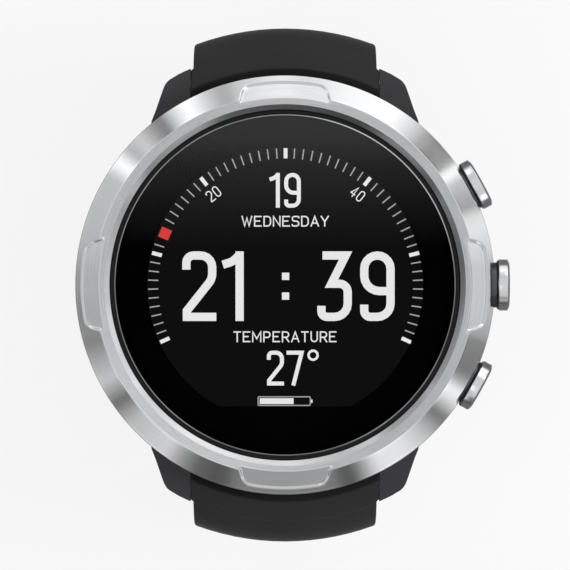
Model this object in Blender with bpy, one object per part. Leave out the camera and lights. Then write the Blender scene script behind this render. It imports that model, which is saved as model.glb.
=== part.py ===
"""Wrist dive computer at rest: round case, three push buttons and an open strap loop.

The origin is the centre of the case back, +Z leaves through the glass, +Y points to
12 o'clock and +X to 3 o'clock, where the buttons are. Lengths below are millimetres.
"""

import math

import bmesh
import bpy
from mathutils import Matrix, Vector

MM = 0.001
FINE = 96
ROUND = 72
MEDIUM = 24
COARSE = 16

# Head: heights from the back face, radii from the dial axis
BEZEL_R = 26.5
BEZEL_TOP = 16.3
BEZEL_FOOT = 10.75
RING_OUTER_R = 24.0
RING_INNER_R = 22.8
CONE_FOOT = 14.3
BORE_R = 22.15
CRYSTAL_R = 21.55
CRYSTAL_TOP = 15.7
CRYSTAL_LOW = 13.8
GASKET = (21.67, 22.03, 13.75, 15.42)
DISPLAY_R = 19.3
DISPLAY_LOW = 12.2
DISPLAY_TOP = 13.4
CASE_R = 25.4
CASE_TOP = 10.6
CAVITY_R = 20.4
CASE_BACK_R = 21.7
CASE_BACK_T = 1.5

# Four shallow panels sunk in the bezel's cone
PANEL_DEPTH = 0.5
PANEL_OUTER_R = 25.5
PANEL_HALF_DEG = 13.6

# Push buttons: direction, sideways offset of the axis, reach of the cap's face
BUTTONS = {
    "upper": (29.0, -0.59, 28.3),
    "middle": (0.0, 0.0, 28.6),
    "lower": (-29.0, 0.59, 28.3),
}
BUTTON_Z = 7.2
CAP_R = 3.3
CAP_T = 1.5
COLLAR_R = 2.8
STEM_R = 1.2
NOTCH_FLOOR = {"upper": 26.15, "middle": 25.95, "lower": 26.15}
NOTCH_HALF = 3.0
BORE_OF_COLLAR_R = 2.95
BORE_OF_BUSHING_R = 2.2

# Lugs: the faces run straight outward from their roots in the case
LUG_INNER_X = 12.05
LUG_END_R = 30.1
LUG_ROOT_Y = 18.7
LUG_ROOT_TOP = 9.3
LUG_ROOT_FOOT = 0.9
LUG_TOP_FALL = 0.36
LUG_FOOT_RISE = 0.05
FLANK_Y = 22.1
SPRING_BAR = (25.5, 4.5)
SPRING_BAR_HALF = 13.5
RELEASE_X = 7.2

# Strap: end block between the lugs, then the free band
END_HALF = 11.85
BAND_HALF = 11.7
HUB_R = 2.4
CENTRE_START = (28.5, 4.6)
START_HEADING = -40.0
BUCKLE_LEGS = ((6.46, -50.0, 6), (28.0, -22.0, 9), (23.74, -68.0, 12), (5.7, 0.0, 3))
TAIL_LEGS = (
    (6.46, -50.0, 6),
    (38.0, -12.0, 9),
    (21.8, -78.0, 11),
    (23.0, 0.0, 4),
    (11.5, -24.3, 4),
    (6.5, -13.7, 8),
)
BAND_T_START = 4.2
BAND_T_SHOULDER = 3.6
BAND_T_END = 2.6
BAND_T_FALL = 0.045
SHOULDER_LENGTH = 6.46
CROWN_END = 38.0
CROWN_FADE = 30.0
CROWN_R = 27.0
BAND_CROWN_R = 32.0
EDGE_CUT = 0.35
TIP_LENGTH = 6.5
HOLE_PITCH = 6.2
HOLE_COUNT = 9
HOLE_FIRST = 11.0

# Buckle, in its own frame: along the strap and out from it
BAR_R = 0.85
LOOP_R = 2.1
FRAME_HALF = 14.6
FRAME_REACH = 13.4
FRAME_CORNER = 3.2
FRAME_T = 2.4

# Keepers: the inside clears two layers of band
KEEPER_INSIDE = (11.5, -1.8, 4.5, 0.9)
KEEPER_OUTSIDE = (13.1, -3.2, 5.9, 1.7)

SCREW_R = 19.6
SCREW_ANGLES = (45.0, 135.0, 225.0, 315.0)
CONTACT_Y = -13.0
CONTACT_PITCH = 5.2


def clear_scene():
    for obj in list(bpy.data.objects):
        bpy.data.objects.remove(obj)


def material(name, colour, metallic=0.0, roughness=0.5, alpha=1.0):
    mat = bpy.data.materials.new(name)
    mat.use_nodes = True
    shader = mat.node_tree.nodes["Principled BSDF"]
    shader.inputs["Base Color"].default_value = (*colour, 1.0)
    shader.inputs["Metallic"].default_value = metallic
    shader.inputs["Roughness"].default_value = roughness
    shader.inputs["Alpha"].default_value = alpha
    return mat


STEEL = ((0.62, 0.63, 0.64), 1.0, 0.28)
DARK_STEEL = ((0.30, 0.31, 0.32), 1.0, 0.35)
POLYMER = ((0.022, 0.022, 0.024), 0.0, 0.45)
RUBBER = ((0.028, 0.028, 0.03), 0.0, 0.6)
SEAL = ((0.01, 0.01, 0.01), 0.0, 0.7)
GLASS = ((0.03, 0.03, 0.035), 0.0, 0.03, 0.35)
GOLD = ((0.83, 0.66, 0.32), 1.0, 0.25)
LACQUER = ((0.02, 0.12, 0.06), 0.0, 0.4)
FOIL = ((0.55, 0.56, 0.58), 1.0, 0.4)
BRASS = ((0.7, 0.55, 0.25), 1.0, 0.3)


def make(name, verts, faces, look, origin=(0.0, 0.0, 0.0)):
    """One closed mesh object from points in mm, with its origin at the given point."""
    mesh = bpy.data.meshes.new(name)
    mesh.from_pydata([(Vector(v) - Vector(origin)) * MM for v in verts], [], faces)
    bm = bmesh.new()
    bm.from_mesh(mesh)
    bmesh.ops.remove_doubles(bm, verts=bm.verts, dist=1e-7)
    bmesh.ops.recalc_face_normals(bm, faces=bm.faces)
    bm.to_mesh(mesh)
    bm.free()
    obj = bpy.data.objects.new(name, mesh)
    obj.location = Vector(origin) * MM
    bpy.context.collection.objects.link(obj)
    if look:
        obj.data.materials.append(material(name, *look))
    return obj


def turned(name, profile, look, segments=MEDIUM, frame=None, origin=(0.0, 0.0, 0.0)):
    """A solid of revolution; profile is a loop of (radius, height) about the frame's Z."""
    frame = frame or Matrix.Identity(4)
    verts, rings = [], []
    for radius, height in profile:
        count = segments if radius > 1e-6 else 1
        rings.append([len(verts) + i for i in range(count)])
        for i in range(count):
            turn = 2 * math.pi * i / segments
            point = (radius * math.cos(turn), radius * math.sin(turn), height)
            verts.append(frame @ Vector(point))
    faces = []
    for a, b in zip(rings, rings[1:] + rings[:1]):
        if len(a) == 1 and len(b) == 1:
            continue
        for i in range(segments):
            j = (i + 1) % segments
            loop = [a[i % len(a)], a[j % len(a)], b[j % len(b)], b[i % len(b)]]
            faces.append(list(dict.fromkeys(loop)))
    return make(name, verts, faces, look, origin)


def rod_profile(sections):
    """The closed profile of a solid shaft from (height, radius) steps."""
    return [(0.0, sections[0][0])] + [(r, h) for h, r in sections] + [(0.0, sections[-1][0])]


def sleeve_profile(inner, outer, low, high):
    return [(inner, low), (outer, low), (outer, high), (inner, high)]


def slab(name, outline, low, high, look, frame=None, origin=(0.0, 0.0, 0.0)):
    """An outline extruded along the frame's Z; low and high are numbers or functions of a point."""
    frame = frame or Matrix.Identity(4)
    low_at = low if callable(low) else lambda x, y: low
    high_at = high if callable(high) else lambda x, y: high
    n = len(outline)
    verts = [frame @ Vector((x, y, low_at(x, y))) for x, y in outline]
    verts += [frame @ Vector((x, y, high_at(x, y))) for x, y in outline]
    faces = [list(range(n)), list(range(n, 2 * n))]
    faces += [[i, (i + 1) % n, n + (i + 1) % n, n + i] for i in range(n)]
    return make(name, verts, faces, look, origin)


def rounded_box(half_x, half_y, radius, steps=4, centre=(0.0, 0.0)):
    """A rectangle outline with rounded corners."""
    points = []
    for corner in range(4):
        sx = 1 if corner in (0, 3) else -1
        sy = 1 if corner in (0, 1) else -1
        for i in range(steps + 1):
            turn = math.radians(90 * corner + 90 * i / steps)
            x = sx * (half_x - radius) + radius * math.cos(turn)
            y = sy * (half_y - radius) + radius * math.sin(turn)
            points.append((centre[0] + x, centre[1] + y))
    return points


def along(direction, point):
    """A frame whose Z runs along direction from point."""
    turn = Vector((0, 0, 1)).rotation_difference(Vector(direction)).to_matrix().to_4x4()
    return Matrix.Translation(Vector(point)) @ turn


def joined(name, objects):
    """Several separate cutters as one mesh."""
    bm = bmesh.new()
    for obj in objects:
        mesh = obj.data.copy()
        mesh.transform(Matrix.Translation(obj.location))
        bm.from_mesh(mesh)
        bpy.data.objects.remove(obj)
    mesh = bpy.data.meshes.new(name)
    bm.to_mesh(mesh)
    bm.free()
    obj = bpy.data.objects.new(name, mesh)
    bpy.context.collection.objects.link(obj)
    return obj


def shape_with(body, tool, operation="DIFFERENCE"):
    """Cuts the tool out of the body, or adds it."""
    step = body.modifiers.new(operation.lower() + "_" + tool.name, "BOOLEAN")
    step.operation = operation
    step.solver = "EXACT"
    step.object = tool
    tool.hide_render = True
    tool.display_type = "WIRE"


# ---- Head ----


def cone_height(radius):
    slope = (BEZEL_TOP - CONE_FOOT) / (BEZEL_R - 0.1 - RING_OUTER_R)
    return BEZEL_TOP - slope * (radius - RING_OUTER_R)


def panel_cutter(turn_deg):
    """One sunk panel: parallel to the cone, cutting in from the flat ring."""
    inner = RING_OUTER_R - PANEL_DEPTH * (BEZEL_R - RING_OUTER_R) / (BEZEL_TOP - CONE_FOOT)
    low = [(inner - 0.6, 0.6 + BEZEL_TOP), (inner, BEZEL_TOP)]
    low.append((PANEL_OUTER_R, cone_height(PANEL_OUTER_R) - PANEL_DEPTH))
    low.append((PANEL_OUTER_R + 0.25, cone_height(PANEL_OUTER_R + 0.25) + 0.02))
    low.append((PANEL_OUTER_R + 1.0, cone_height(PANEL_OUTER_R) + 2.0))
    steps = 10
    verts, faces = [], []
    for i in range(steps + 1):
        u = 2 * i / steps - 1
        for radius, height in low + [(PANEL_OUTER_R + 1.0, 18.5), (inner - 0.6, 18.5)]:
            half = PANEL_HALF_DEG - 1.25 * (radius - inner)
            turn = math.radians(turn_deg + half * u)
            verts.append((radius * math.cos(turn), radius * math.sin(turn), height))
    n = len(low) + 2
    faces.append(list(range(n)))
    faces.append([steps * n + k for k in range(n)])
    for i in range(steps):
        for k in range(n):
            a, b = i * n + k, i * n + (k + 1) % n
            faces.append([a, b, b + n, a + n])
    return make("panel_cut", verts, faces, None)


def button_frame(key):
    """The frame of a button: Z runs outward along its axis, from the foot near the dial axis."""
    angle, offset, _ = BUTTONS[key]
    turn = math.radians(angle)
    out = Vector((math.cos(turn), math.sin(turn), 0.0))
    side = Vector((-out.y, out.x, 0.0))
    foot = side * offset + Vector((0.0, 0.0, BUTTON_Z))
    return Matrix.Translation(foot) @ Matrix((side, (0, 0, 1), out)).transposed().to_4x4()


def bezel():
    top = BEZEL_TOP
    profile = [
        (BORE_R, 15.62),
        (RING_INNER_R - 0.04, top - 0.06),
        (RING_INNER_R + 0.1, top),
        (RING_OUTER_R - 0.1, top),
        (RING_OUTER_R + 0.06, cone_height(RING_OUTER_R + 0.06) - 0.01),
        (BEZEL_R - 0.16, cone_height(BEZEL_R - 0.16)),
        (BEZEL_R, CONE_FOOT - 0.25),
        (BEZEL_R, BEZEL_FOOT + 0.6),
        (BEZEL_R - 0.45, BEZEL_FOOT),
        (21.0, BEZEL_FOOT),
        (21.0, 13.6),
        (BORE_R, 13.6),
    ]
    body = turned("bezel", profile, STEEL, FINE)
    panels = joined("panel_cuts", [panel_cutter(a) for a in (0, 90, 180, 270)])
    shape_with(body, panels)
    notches = []
    for key in BUTTONS:
        frame = button_frame(key) @ Matrix.Translation((0, 6.0, NOTCH_FLOOR[key]))
        outline = rounded_box(NOTCH_HALF, 4.0, 0.5, 2)
        notches.append(slab("notch", outline, 0.0, 4.0, None, frame))
    shape_with(body, joined("button_notches", notches))


def crystal():
    top = CRYSTAL_TOP
    r = CRYSTAL_R
    profile = [(0, top + 0.02), (r - 0.25, top), (r - 0.03, top - 0.2), (r, top - 0.3)]
    profile += [(r, CRYSTAL_LOW + 0.15), (r - 0.15, CRYSTAL_LOW), (0, CRYSTAL_LOW)]
    turned("crystal", profile, GLASS, FINE)
    turned("crystal_gasket", sleeve_profile(*GASKET), SEAL, ROUND)


def display():
    sections = [(DISPLAY_LOW, DISPLAY_R), (DISPLAY_TOP, DISPLAY_R)]
    turned("display_panel", rod_profile(sections), SEAL, ROUND)
    profile = [(18.2, 11.0), (20.8, 11.0), (20.8, 13.5)]
    profile += [(19.5, 13.5), (19.5, 12.05), (18.2, 12.05)]
    turned("display_frame", profile, POLYMER, ROUND)


def lug_outline(side_x, side_y):
    """One lug in plan; the end follows a circle about the dial axis."""
    points = [(17.4, 18.4), (LUG_INNER_X, LUG_ROOT_Y)]
    for x in (LUG_INNER_X, 12.8, 13.6):
        points.append((x, math.sqrt(LUG_END_R**2 - x * x)))
    points += [(14.3, 26.42), (14.75, 26.15), (15.1, 25.8), (15.35, 25.4), (15.55, 24.9)]
    points += [(16.45, 22.2), (16.95, 20.9)]
    return [(side_x * x, side_y * y) for x, y in points]


def lug_top(_, y):
    return LUG_ROOT_TOP - LUG_TOP_FALL * (abs(y) - LUG_ROOT_Y)


def lug_foot(_, y):
    return LUG_ROOT_FOOT + LUG_FOOT_RISE * (abs(y) - LUG_ROOT_Y)


def mid_case_profile():
    outer = [(21.9, 0.6), (23.0, 0.6), (24.6, 2.2), (CASE_R, 4.4), (CASE_R, CASE_TOP)]
    inner = [(CAVITY_R, CASE_TOP), (CAVITY_R, 4.2), (16.2, 4.2), (16.2, 1.8)]
    groove = [(16.85, 1.8), (16.85, 2.7), (18.15, 2.7), (18.15, 1.8), (21.9, 1.8)]
    return outer + inner + groove


def button_bores():
    tools = []
    for key, (_, _, reach) in BUTTONS.items():
        shoulder = reach - 3.8
        steps = [(18.5, BORE_OF_BUSHING_R), (shoulder, BORE_OF_BUSHING_R)]
        steps += [(shoulder, BORE_OF_COLLAR_R), (reach, BORE_OF_COLLAR_R)]
        tools.append(turned("bore", rod_profile(steps), None, MEDIUM, button_frame(key)))
    return joined("button_bores", tools)


def mid_case():
    body = turned("mid_case", mid_case_profile(), POLYMER, ROUND)
    lugs = []
    for side_x in (-1, 1):
        for side_y in (-1, 1):
            outline = lug_outline(side_x, side_y)
            lugs.append(slab("lug", outline, lug_foot, lug_top, None))
    shape_with(body, joined("lugs", lugs), "UNION")
    gaps = []
    for side in (-1, 1):
        outline = rounded_box(LUG_INNER_X, 6.0, 0.3, 2, (0.0, side * (FLANK_Y + 6.0)))
        gaps.append(slab("gap", outline, -1.0, 12.0, None))
    shape_with(body, joined("lug_gaps", gaps))
    shape_with(body, button_bores())
    holes = []
    for side in (-1, 1):
        frame = along((1, 0, 0), (0, side * SPRING_BAR[0], SPRING_BAR[1]))
        steps = [(-SPRING_BAR_HALF - 0.2, 0.8), (SPRING_BAR_HALF + 0.2, 0.8)]
        holes.append(turned("hole", rod_profile(steps), None, COARSE, frame))
    for angle in SCREW_ANGLES:
        steps = [(1.0, 0.72), (3.5, 0.72)]
        holes.append(turned("hole", rod_profile(steps), None, COARSE, screw_frame(angle)))
    shape_with(body, joined("case_holes", holes))


def screw_frame(angle):
    turn = math.radians(angle)
    return Matrix.Translation((SCREW_R * math.cos(turn), SCREW_R * math.sin(turn), 0.0))


def case_back():
    r = CASE_BACK_R
    profile = [(0, 0), (r - 0.7, 0), (r, 0.5), (r, CASE_BACK_T), (0, CASE_BACK_T)]
    body = turned("case_back", profile, DARK_STEEL, ROUND)
    tools = []
    for angle in SCREW_ANGLES:
        steps = [(-0.5, 1.4), (0.9, 1.4), (0.9, 0.8), (2.0, 0.8)]
        tools.append(turned("hole", rod_profile(steps), None, COARSE, screw_frame(angle)))
    for x in (-CONTACT_PITCH, 0.0, CONTACT_PITCH):
        frame = Matrix.Translation((x, CONTACT_Y, 0.0))
        tools.append(turned("hole", rod_profile([(-0.5, 1.45), (1.0, 1.45)]), None, COARSE, frame))
    shape_with(body, joined("back_holes", tools))
    turned("case_back_gasket", sleeve_profile(17.0, 18.0, 1.6, 2.5), SEAL, ROUND)


def case_screws():
    hexes = []
    for angle in SCREW_ANGLES:
        frame = screw_frame(angle)
        hexes.append(turned("hex", rod_profile([(-0.2, 0.62), (0.5, 0.62)]), None, 6, frame))
    sockets = joined("screw_sockets", hexes)
    for i, angle in enumerate(SCREW_ANGLES):
        steps = [(0.1, 1.05), (0.2, 1.22), (0.85, 1.22), (0.85, 0.6), (3.3, 0.6)]
        name = "case_screw_" + "abcd"[i]
        screw = turned(name, rod_profile(steps), STEEL, COARSE, screw_frame(angle))
        shape_with(screw, sockets)


def charging_contacts():
    for name, x in (("left", -CONTACT_PITCH), ("centre", 0.0), ("right", CONTACT_PITCH)):
        steps = [(0.06, 1.05), (0.2, 1.25), (0.85, 1.25)]
        frame = Matrix.Translation((x, CONTACT_Y, 0.0))
        turned("charging_contact_" + name, rod_profile(steps), GOLD, COARSE, frame)


def electronics():
    board = turned("circuit_board", rod_profile([(8.7, 19.6), (9.6, 19.6)]), LACQUER, ROUND)
    chips = []
    for centre, half in (((-4, 4), (4, 4)), ((7, -5), (3, 2)), ((-9, -7), (2.5, 3.5))):
        chips.append(slab("chip", rounded_box(*half, 0.2, 1, centre), 7.5, 8.8, None))
    shape_with(board, joined("chips", chips), "UNION")
    slab("battery", rounded_box(12.4, 9.8, 1.5, 3), 2.0, 6.6, FOIL)
    frame = Matrix.Translation((0.0, 15.4, 0.0))
    turned("vibration_motor", rod_profile([(4.6, 4.0), (7.3, 4.0)]), STEEL, MEDIUM, frame)
    frame = Matrix.Translation((0.0, -15.4, 0.0))
    turned("buzzer", rod_profile([(4.6, 4.1), (6.6, 4.1)]), BRASS, MEDIUM, frame)
    frame = Matrix.Translation((-17.0, 0.0, 0.0))
    turned("pressure_sensor", rod_profile([(4.6, 2.4), (7.9, 2.4)]), DARK_STEEL, MEDIUM, frame)


def buttons():
    for key, (_, _, reach) in BUTTONS.items():
        frame = button_frame(key)
        inner = reach - CAP_T
        steps = [
            (18.9, STEM_R - 0.2),
            (19.1, STEM_R),
            (inner - 1.0, STEM_R),
            (inner - 1.0, COLLAR_R),
            (inner - 0.05, COLLAR_R),
            (inner, CAP_R - 0.2),
            (inner + 0.2, CAP_R),
            (reach - 0.4, CAP_R),
            (reach - 0.1, CAP_R - 0.35),
            (reach, CAP_R - 1.6),
        ]
        foot = frame @ Vector((0.0, 0.0, inner))
        turned("button_" + key, rod_profile(steps), STEEL, MEDIUM, frame, foot)
        sleeve = sleeve_profile(STEM_R + 0.12, 2.05, 20.6, reach - 4.0)
        turned("button_bushing_" + key, sleeve, DARK_STEEL, MEDIUM, frame)
        outline = rounded_box(1.7, 1.3, 0.3, 2)
        slab("button_switch_" + key, outline, 16.4, 17.9, SEAL, frame)


# ---- Spring bars and strap ----


def spring_bars():
    for name, side in (("12", 1), ("6", -1)):
        frame = along((1, 0, 0), (0, side * SPRING_BAR[0], SPRING_BAR[1]))
        end, shoulder = SPRING_BAR_HALF, 11.5
        steps = [(-end, 0.55), (0.1 - end, 0.7), (-shoulder, 0.7), (-shoulder, 0.9)]
        steps += [(shoulder, 0.9), (shoulder, 0.7), (end - 0.1, 0.7), (end, 0.55)]
        turned("spring_bar_" + name, rod_profile(steps), STEEL, COARSE, frame)
        origin = (RELEASE_X, side * SPRING_BAR[0], SPRING_BAR[1])
        knob = along((0, 0, -1), origin)
        steps = [(1.02, 0.6), (2.5, 0.6), (2.7, 0.75), (3.1, 0.75), (3.2, 0.6)]
        turned("bar_release_" + name, rod_profile(steps), STEEL, COARSE, knob, origin)


def walk(legs):
    """Stations (y, z, heading, distance) of the band's middle line, for the +Y half."""
    y, z = CENTRE_START
    heading, distance = START_HEADING, 0.0
    stations = [(y, z, heading, distance)]
    for length, turn, steps in legs:
        for _ in range(steps):
            middle = math.radians(heading + turn / steps / 2)
            y += length / steps * math.cos(middle)
            z += length / steps * math.sin(middle)
            heading += turn / steps
            distance += length / steps
            stations.append((y, z, heading, distance))
    return stations


def thickness(distance):
    if distance < SHOULDER_LENGTH:
        return BAND_T_START + (BAND_T_SHOULDER - BAND_T_START) * distance / SHOULDER_LENGTH
    return max(BAND_T_END, BAND_T_SHOULDER - BAND_T_FALL * (distance - SHOULDER_LENGTH))


def crown(distance):
    """How far the cross-section keeps the roundness of the dial."""
    return min(1.0, max(0.0, (CROWN_END - distance) / CROWN_FADE))


def band_half(distance, total, rounded):
    """Half the band's width, narrowing to the end and rounded off at the tip."""
    half = BAND_HALF - 0.5 * min(1.0, distance / 60.0)
    if rounded and distance > total - TIP_LENGTH:
        u = (distance - total + TIP_LENGTH) / TIP_LENGTH
        half *= 0.5 + 0.5 * math.sqrt(max(0.0, 1 - u * u))
    return half


def outward(heading):
    turn = math.radians(heading + 90.0)
    return math.cos(turn), math.sin(turn)


def strap_loop(legs, rounded):
    """The strap half's side outline for the +Y side, as head, band pairs and tip.

    Every entry is (y, z, crown weight, crown direction, half width).
    """
    flat = (1.0, 0.0)
    by, bz = SPRING_BAR
    head_top = [
        (by - 0.2, bz + HUB_R, 0.55, flat, END_HALF),
        (26.5, 7.12, 1.0, flat, END_HALF),
        (27.42, 7.55, 1.0, flat, END_HALF),
        (27.75, 7.5, 1.0, flat, END_HALF),
        (29.95, 6.1, 1.0, flat, END_HALF),
        (30.15, 5.9, 1.0, flat, END_HALF),
        (30.2, 5.45, 1.0, flat, END_HALF - 0.05),
    ]
    stations = walk(legs)
    total = stations[-1][3]
    outer, inner = [], []
    for y, z, heading, distance in stations[2:]:
        ny, nz = outward(heading)
        half = band_half(distance, total, rounded)
        way = flat if heading > -90.0 else (ny, nz)
        weight = crown(distance)
        reach = thickness(distance) / 2
        outer.append((y + ny * reach, z + nz * reach, weight, way, half))
        inner.append((y - ny * reach, z - nz * reach, weight * 0.8, way, half))
    head_foot = []
    for angle in range(-75, -256, -20):
        turn = math.radians(angle)
        point = (by + HUB_R * math.cos(turn), bz + HUB_R * math.sin(turn))
        head_foot.append((*point, 0.0, flat, END_HALF))
    y, z, heading, distance = stations[-1]
    radius = thickness(distance) / 2 if rounded else LOOP_R
    tip = []
    for angle in (66, 40, 14, -14, -40, -66):
        turn = math.radians(heading + angle)
        point = (y + radius * math.cos(turn), z + radius * math.sin(turn))
        tip.append((*point, 0.0, flat, outer[-1][4]))
    if not rounded:
        outer, inner = outer[:-1], inner[:-1]
    return head_top, outer, inner, head_foot, tip


def loop_normals(points):
    """Unit normals of a closed outline, pointing out of it."""
    n = len(points)
    area = sum(
        points[i][0] * points[(i + 1) % n][1] - points[(i + 1) % n][0] * points[i][1]
        for i in range(n)
    )
    sign = 1.0 if area > 0 else -1.0
    normals = []
    for i in range(n):
        before = Vector(points[i]) - Vector(points[i - 1])
        after = Vector(points[(i + 1) % n]) - Vector(points[i])
        way = before.normalized() + after.normalized()
        normals.append((sign * way.y / way.length, -sign * way.x / way.length))
    return normals


def sagitta(radius, x):
    return radius - math.sqrt(max(0.0, radius * radius - x * x))


def width_stations(half):
    """Places across the band as (x, how far the outline is drawn in there)."""
    edge = [(half, EDGE_CUT), (half - EDGE_CUT, 0.0)]
    inside = [((half - EDGE_CUT) * f, 0.0) for f in (0.68, 0.34, 0.0, -0.34, -0.68)]
    return edge + inside + [(-x, d) for x, d in reversed(edge)]


def strap_solid(name, legs, side, rounded):
    """A strap half: its outline carried across the width with rounded edges."""
    head_top, outer, inner, head_foot, tip = strap_loop(legs, rounded)
    loop = head_top + outer + tip + inner[::-1] + head_foot
    normals = loop_normals([(p[0], p[1]) for p in loop])
    n = len(loop)
    columns = len(width_stations(1.0))
    verts = []
    for k in range(columns):
        for (y, z, weight, way, half), (ny, nz) in zip(loop, normals):
            x, inset = width_stations(half)[k]
            radius = max(y, CROWN_R) if way == (1.0, 0.0) else BAND_CROWN_R
            drop = weight * sagitta(radius, x)
            y_at = y - ny * inset - way[0] * drop
            z_at = z - nz * inset - way[1] * drop
            verts.append((x, side * y_at, z_at))
    faces = []
    for k in range(columns - 1):
        for i in range(n):
            a, b = k * n + i, k * n + (i + 1) % n
            faces.append([a, b, b + n, a + n])
    first = len(head_top)
    count = len(outer)
    twin = first + count + len(tip)
    for k in (0, columns - 1):
        base = k * n
        for i in range(count - 1):
            a, b = first + i, first + i + 1
            c, d = twin + count - 2 - i, twin + count - 1 - i
            faces.append([base + a, base + b, base + c, base + d])
        tip_ids = range(first + count - 1, twin + 1)
        faces.append([base + i for i in tip_ids])
        head_ids = list(range(twin + count - 1, n)) + list(range(first + 1))
        faces.append([base + i for i in head_ids])
    origin = (0.0, side * SPRING_BAR[0], SPRING_BAR[1])
    return make(name, verts, faces, RUBBER, origin)


def hub_cuts(side):
    """The spring bar's bore and the slot that its release knob moves in."""
    by, bz = SPRING_BAR
    frame = along((1, 0, 0), (0, side * by, bz))
    bore = turned("bore", rod_profile([(-13.0, 1.02), (13.0, 1.02)]), None, COARSE, frame)
    slot = slab("slot", rounded_box(1.7, 0.95, 0.5, 3, (7.85, side * by)), bz - 4.0, bz, None)
    return bore, slot


def strap_tail():
    body = strap_solid("strap_tail_half", TAIL_LEGS, -1, True)
    for tool in hub_cuts(-1):
        tool.name = "tail_" + tool.name
        shape_with(body, tool)
    stations = walk(TAIL_LEGS)
    total = stations[-1][3]
    holes = []
    for i in range(HOLE_COUNT):
        y, z, heading, _ = at_distance(stations, total - HOLE_FIRST - i * HOLE_PITCH)
        ny, nz = outward(heading)
        turn = Matrix(((1, 0, 0), (0, -nz, -ny), (0, -ny, nz))).to_4x4()
        frame = Matrix.Translation((0, -y, z)) @ turn
        holes.append(slab("hole", rounded_box(1.15, 1.6, 1.1, 3), -4.0, 4.0, None, frame))
    shape_with(body, joined("tail_holes", holes))


def at_distance(stations, distance):
    """The station at a distance along the walk, between its neighbours."""
    for a, b in zip(stations, stations[1:]):
        if a[3] <= distance <= b[3]:
            t = (distance - a[3]) / (b[3] - a[3])
            return tuple(p + (q - p) * t for p, q in zip(a, b))
    return stations[-1]


def strap_buckle():
    body = strap_solid("strap_buckle_half", BUCKLE_LEGS, 1, False)
    for tool in hub_cuts(1):
        tool.name = "buckle_" + tool.name
        shape_with(body, tool)
    _, y, z = bar_centre()
    shape_with(body, bar_bore("loop_bore", 13.0, 0.15))
    outline = rounded_box(1.9, 3.2, 0.6, 2, (0.0, y - 0.4))
    shape_with(body, slab("tongue_notch", outline, z - 4, z + 4, None))


# ---- Buckle and keepers ----


def bar_centre():
    y, z, _, _ = walk(BUCKLE_LEGS)[-1]
    return (0.0, y, z)


def bar_bore(name, half, clearance):
    """A cutter along the buckle bar."""
    steps = [(-half, BAR_R + clearance), (half, BAR_R + clearance)]
    return turned(name, rod_profile(steps), None, COARSE, along((1, 0, 0), bar_centre()))


def frame_outline():
    """The buckle frame in plan: across the strap, and along it from the bar."""
    outer = [(FRAME_HALF, -1.9)]
    for i in range(6):
        turn = math.radians(90 * i / 5)
        x = FRAME_HALF - FRAME_CORNER + FRAME_CORNER * math.cos(turn)
        outer.append((x, FRAME_REACH - FRAME_CORNER + FRAME_CORNER * math.sin(turn)))
    inner = [(12.0, -1.9), (12.0, 8.6), (11.6, 10.0), (10.4, 10.7)]
    outer_left = [(-x, y) for x, y in reversed(outer)]
    inner_left = [(-x, y) for x, y in inner]
    return outer + outer_left + inner_left + inner[::-1]


def buckle():
    place = Matrix.Translation(bar_centre()) @ Matrix.Rotation(math.pi, 4, "X")
    half_t = FRAME_T / 2
    body = slab("buckle_frame", frame_outline(), -half_t, half_t, STEEL, place, bar_centre())
    soften = body.modifiers.new("soften", "BEVEL")
    soften.width = 0.35 * MM
    soften.segments = 2
    soften.limit_method = "ANGLE"
    soften.angle_limit = math.radians(50)
    shape_with(body, bar_bore("frame_bore", 16.0, 0.12))
    steps = [(-14.3, 0.6), (-14.1, BAR_R), (14.1, BAR_R), (14.3, 0.6)]
    turned("buckle_bar", rod_profile(steps), STEEL, COARSE, along((1, 0, 0), bar_centre()))


def tongue_outline():
    """Side view of the tongue: eye round the bar, then a shank that rests on the frame."""
    points = []
    for angle in range(70, 341, 30):
        turn = math.radians(angle)
        points.append((1.75 * math.cos(turn), 1.75 * math.sin(turn)))
    points += [(4.0, 0.7), (8.0, 1.3), (10.2, 1.36), (13.6, 1.36), (14.2, 1.75)]
    points += [(13.5, 2.3), (9.0, 2.45), (4.5, 2.2), (2.0, 1.7)]
    return points


def tongue():
    x_way, y_way, z_way = Vector((0, -1, 0)), Vector((0, 0, -1)), Vector((1, 0, 0))
    turn = Matrix((x_way, y_way, z_way)).transposed().to_4x4()
    place = Matrix.Translation(bar_centre()) @ turn
    body = slab("buckle_tongue", tongue_outline(), -1.1, 1.1, STEEL, place, bar_centre())
    shape_with(body, bar_bore("tongue_bore", 3.0, 0.15))


def bend_centre():
    """The centre that the buckle half's lower bend turns about, and its radius."""
    stations = walk(BUCKLE_LEGS)
    y, z, heading, _ = stations[BUCKLE_LEGS[0][2] + BUCKLE_LEGS[1][2]]
    radius = BUCKLE_LEGS[2][0] / math.radians(-BUCKLE_LEGS[2][1])
    ny, nz = outward(heading)
    return (0.0, y - ny * radius, z - nz * radius), radius


def keeper_ring(size, draw):
    """A keeper's outline in width and distance from the band, drawn in towards its middle."""
    half, low, high, corner = size
    middle = (low + high) / 2
    reach = (high - low) / 2 - draw
    return rounded_box(half - draw, reach, corner, 3, (0.0, middle))


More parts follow.
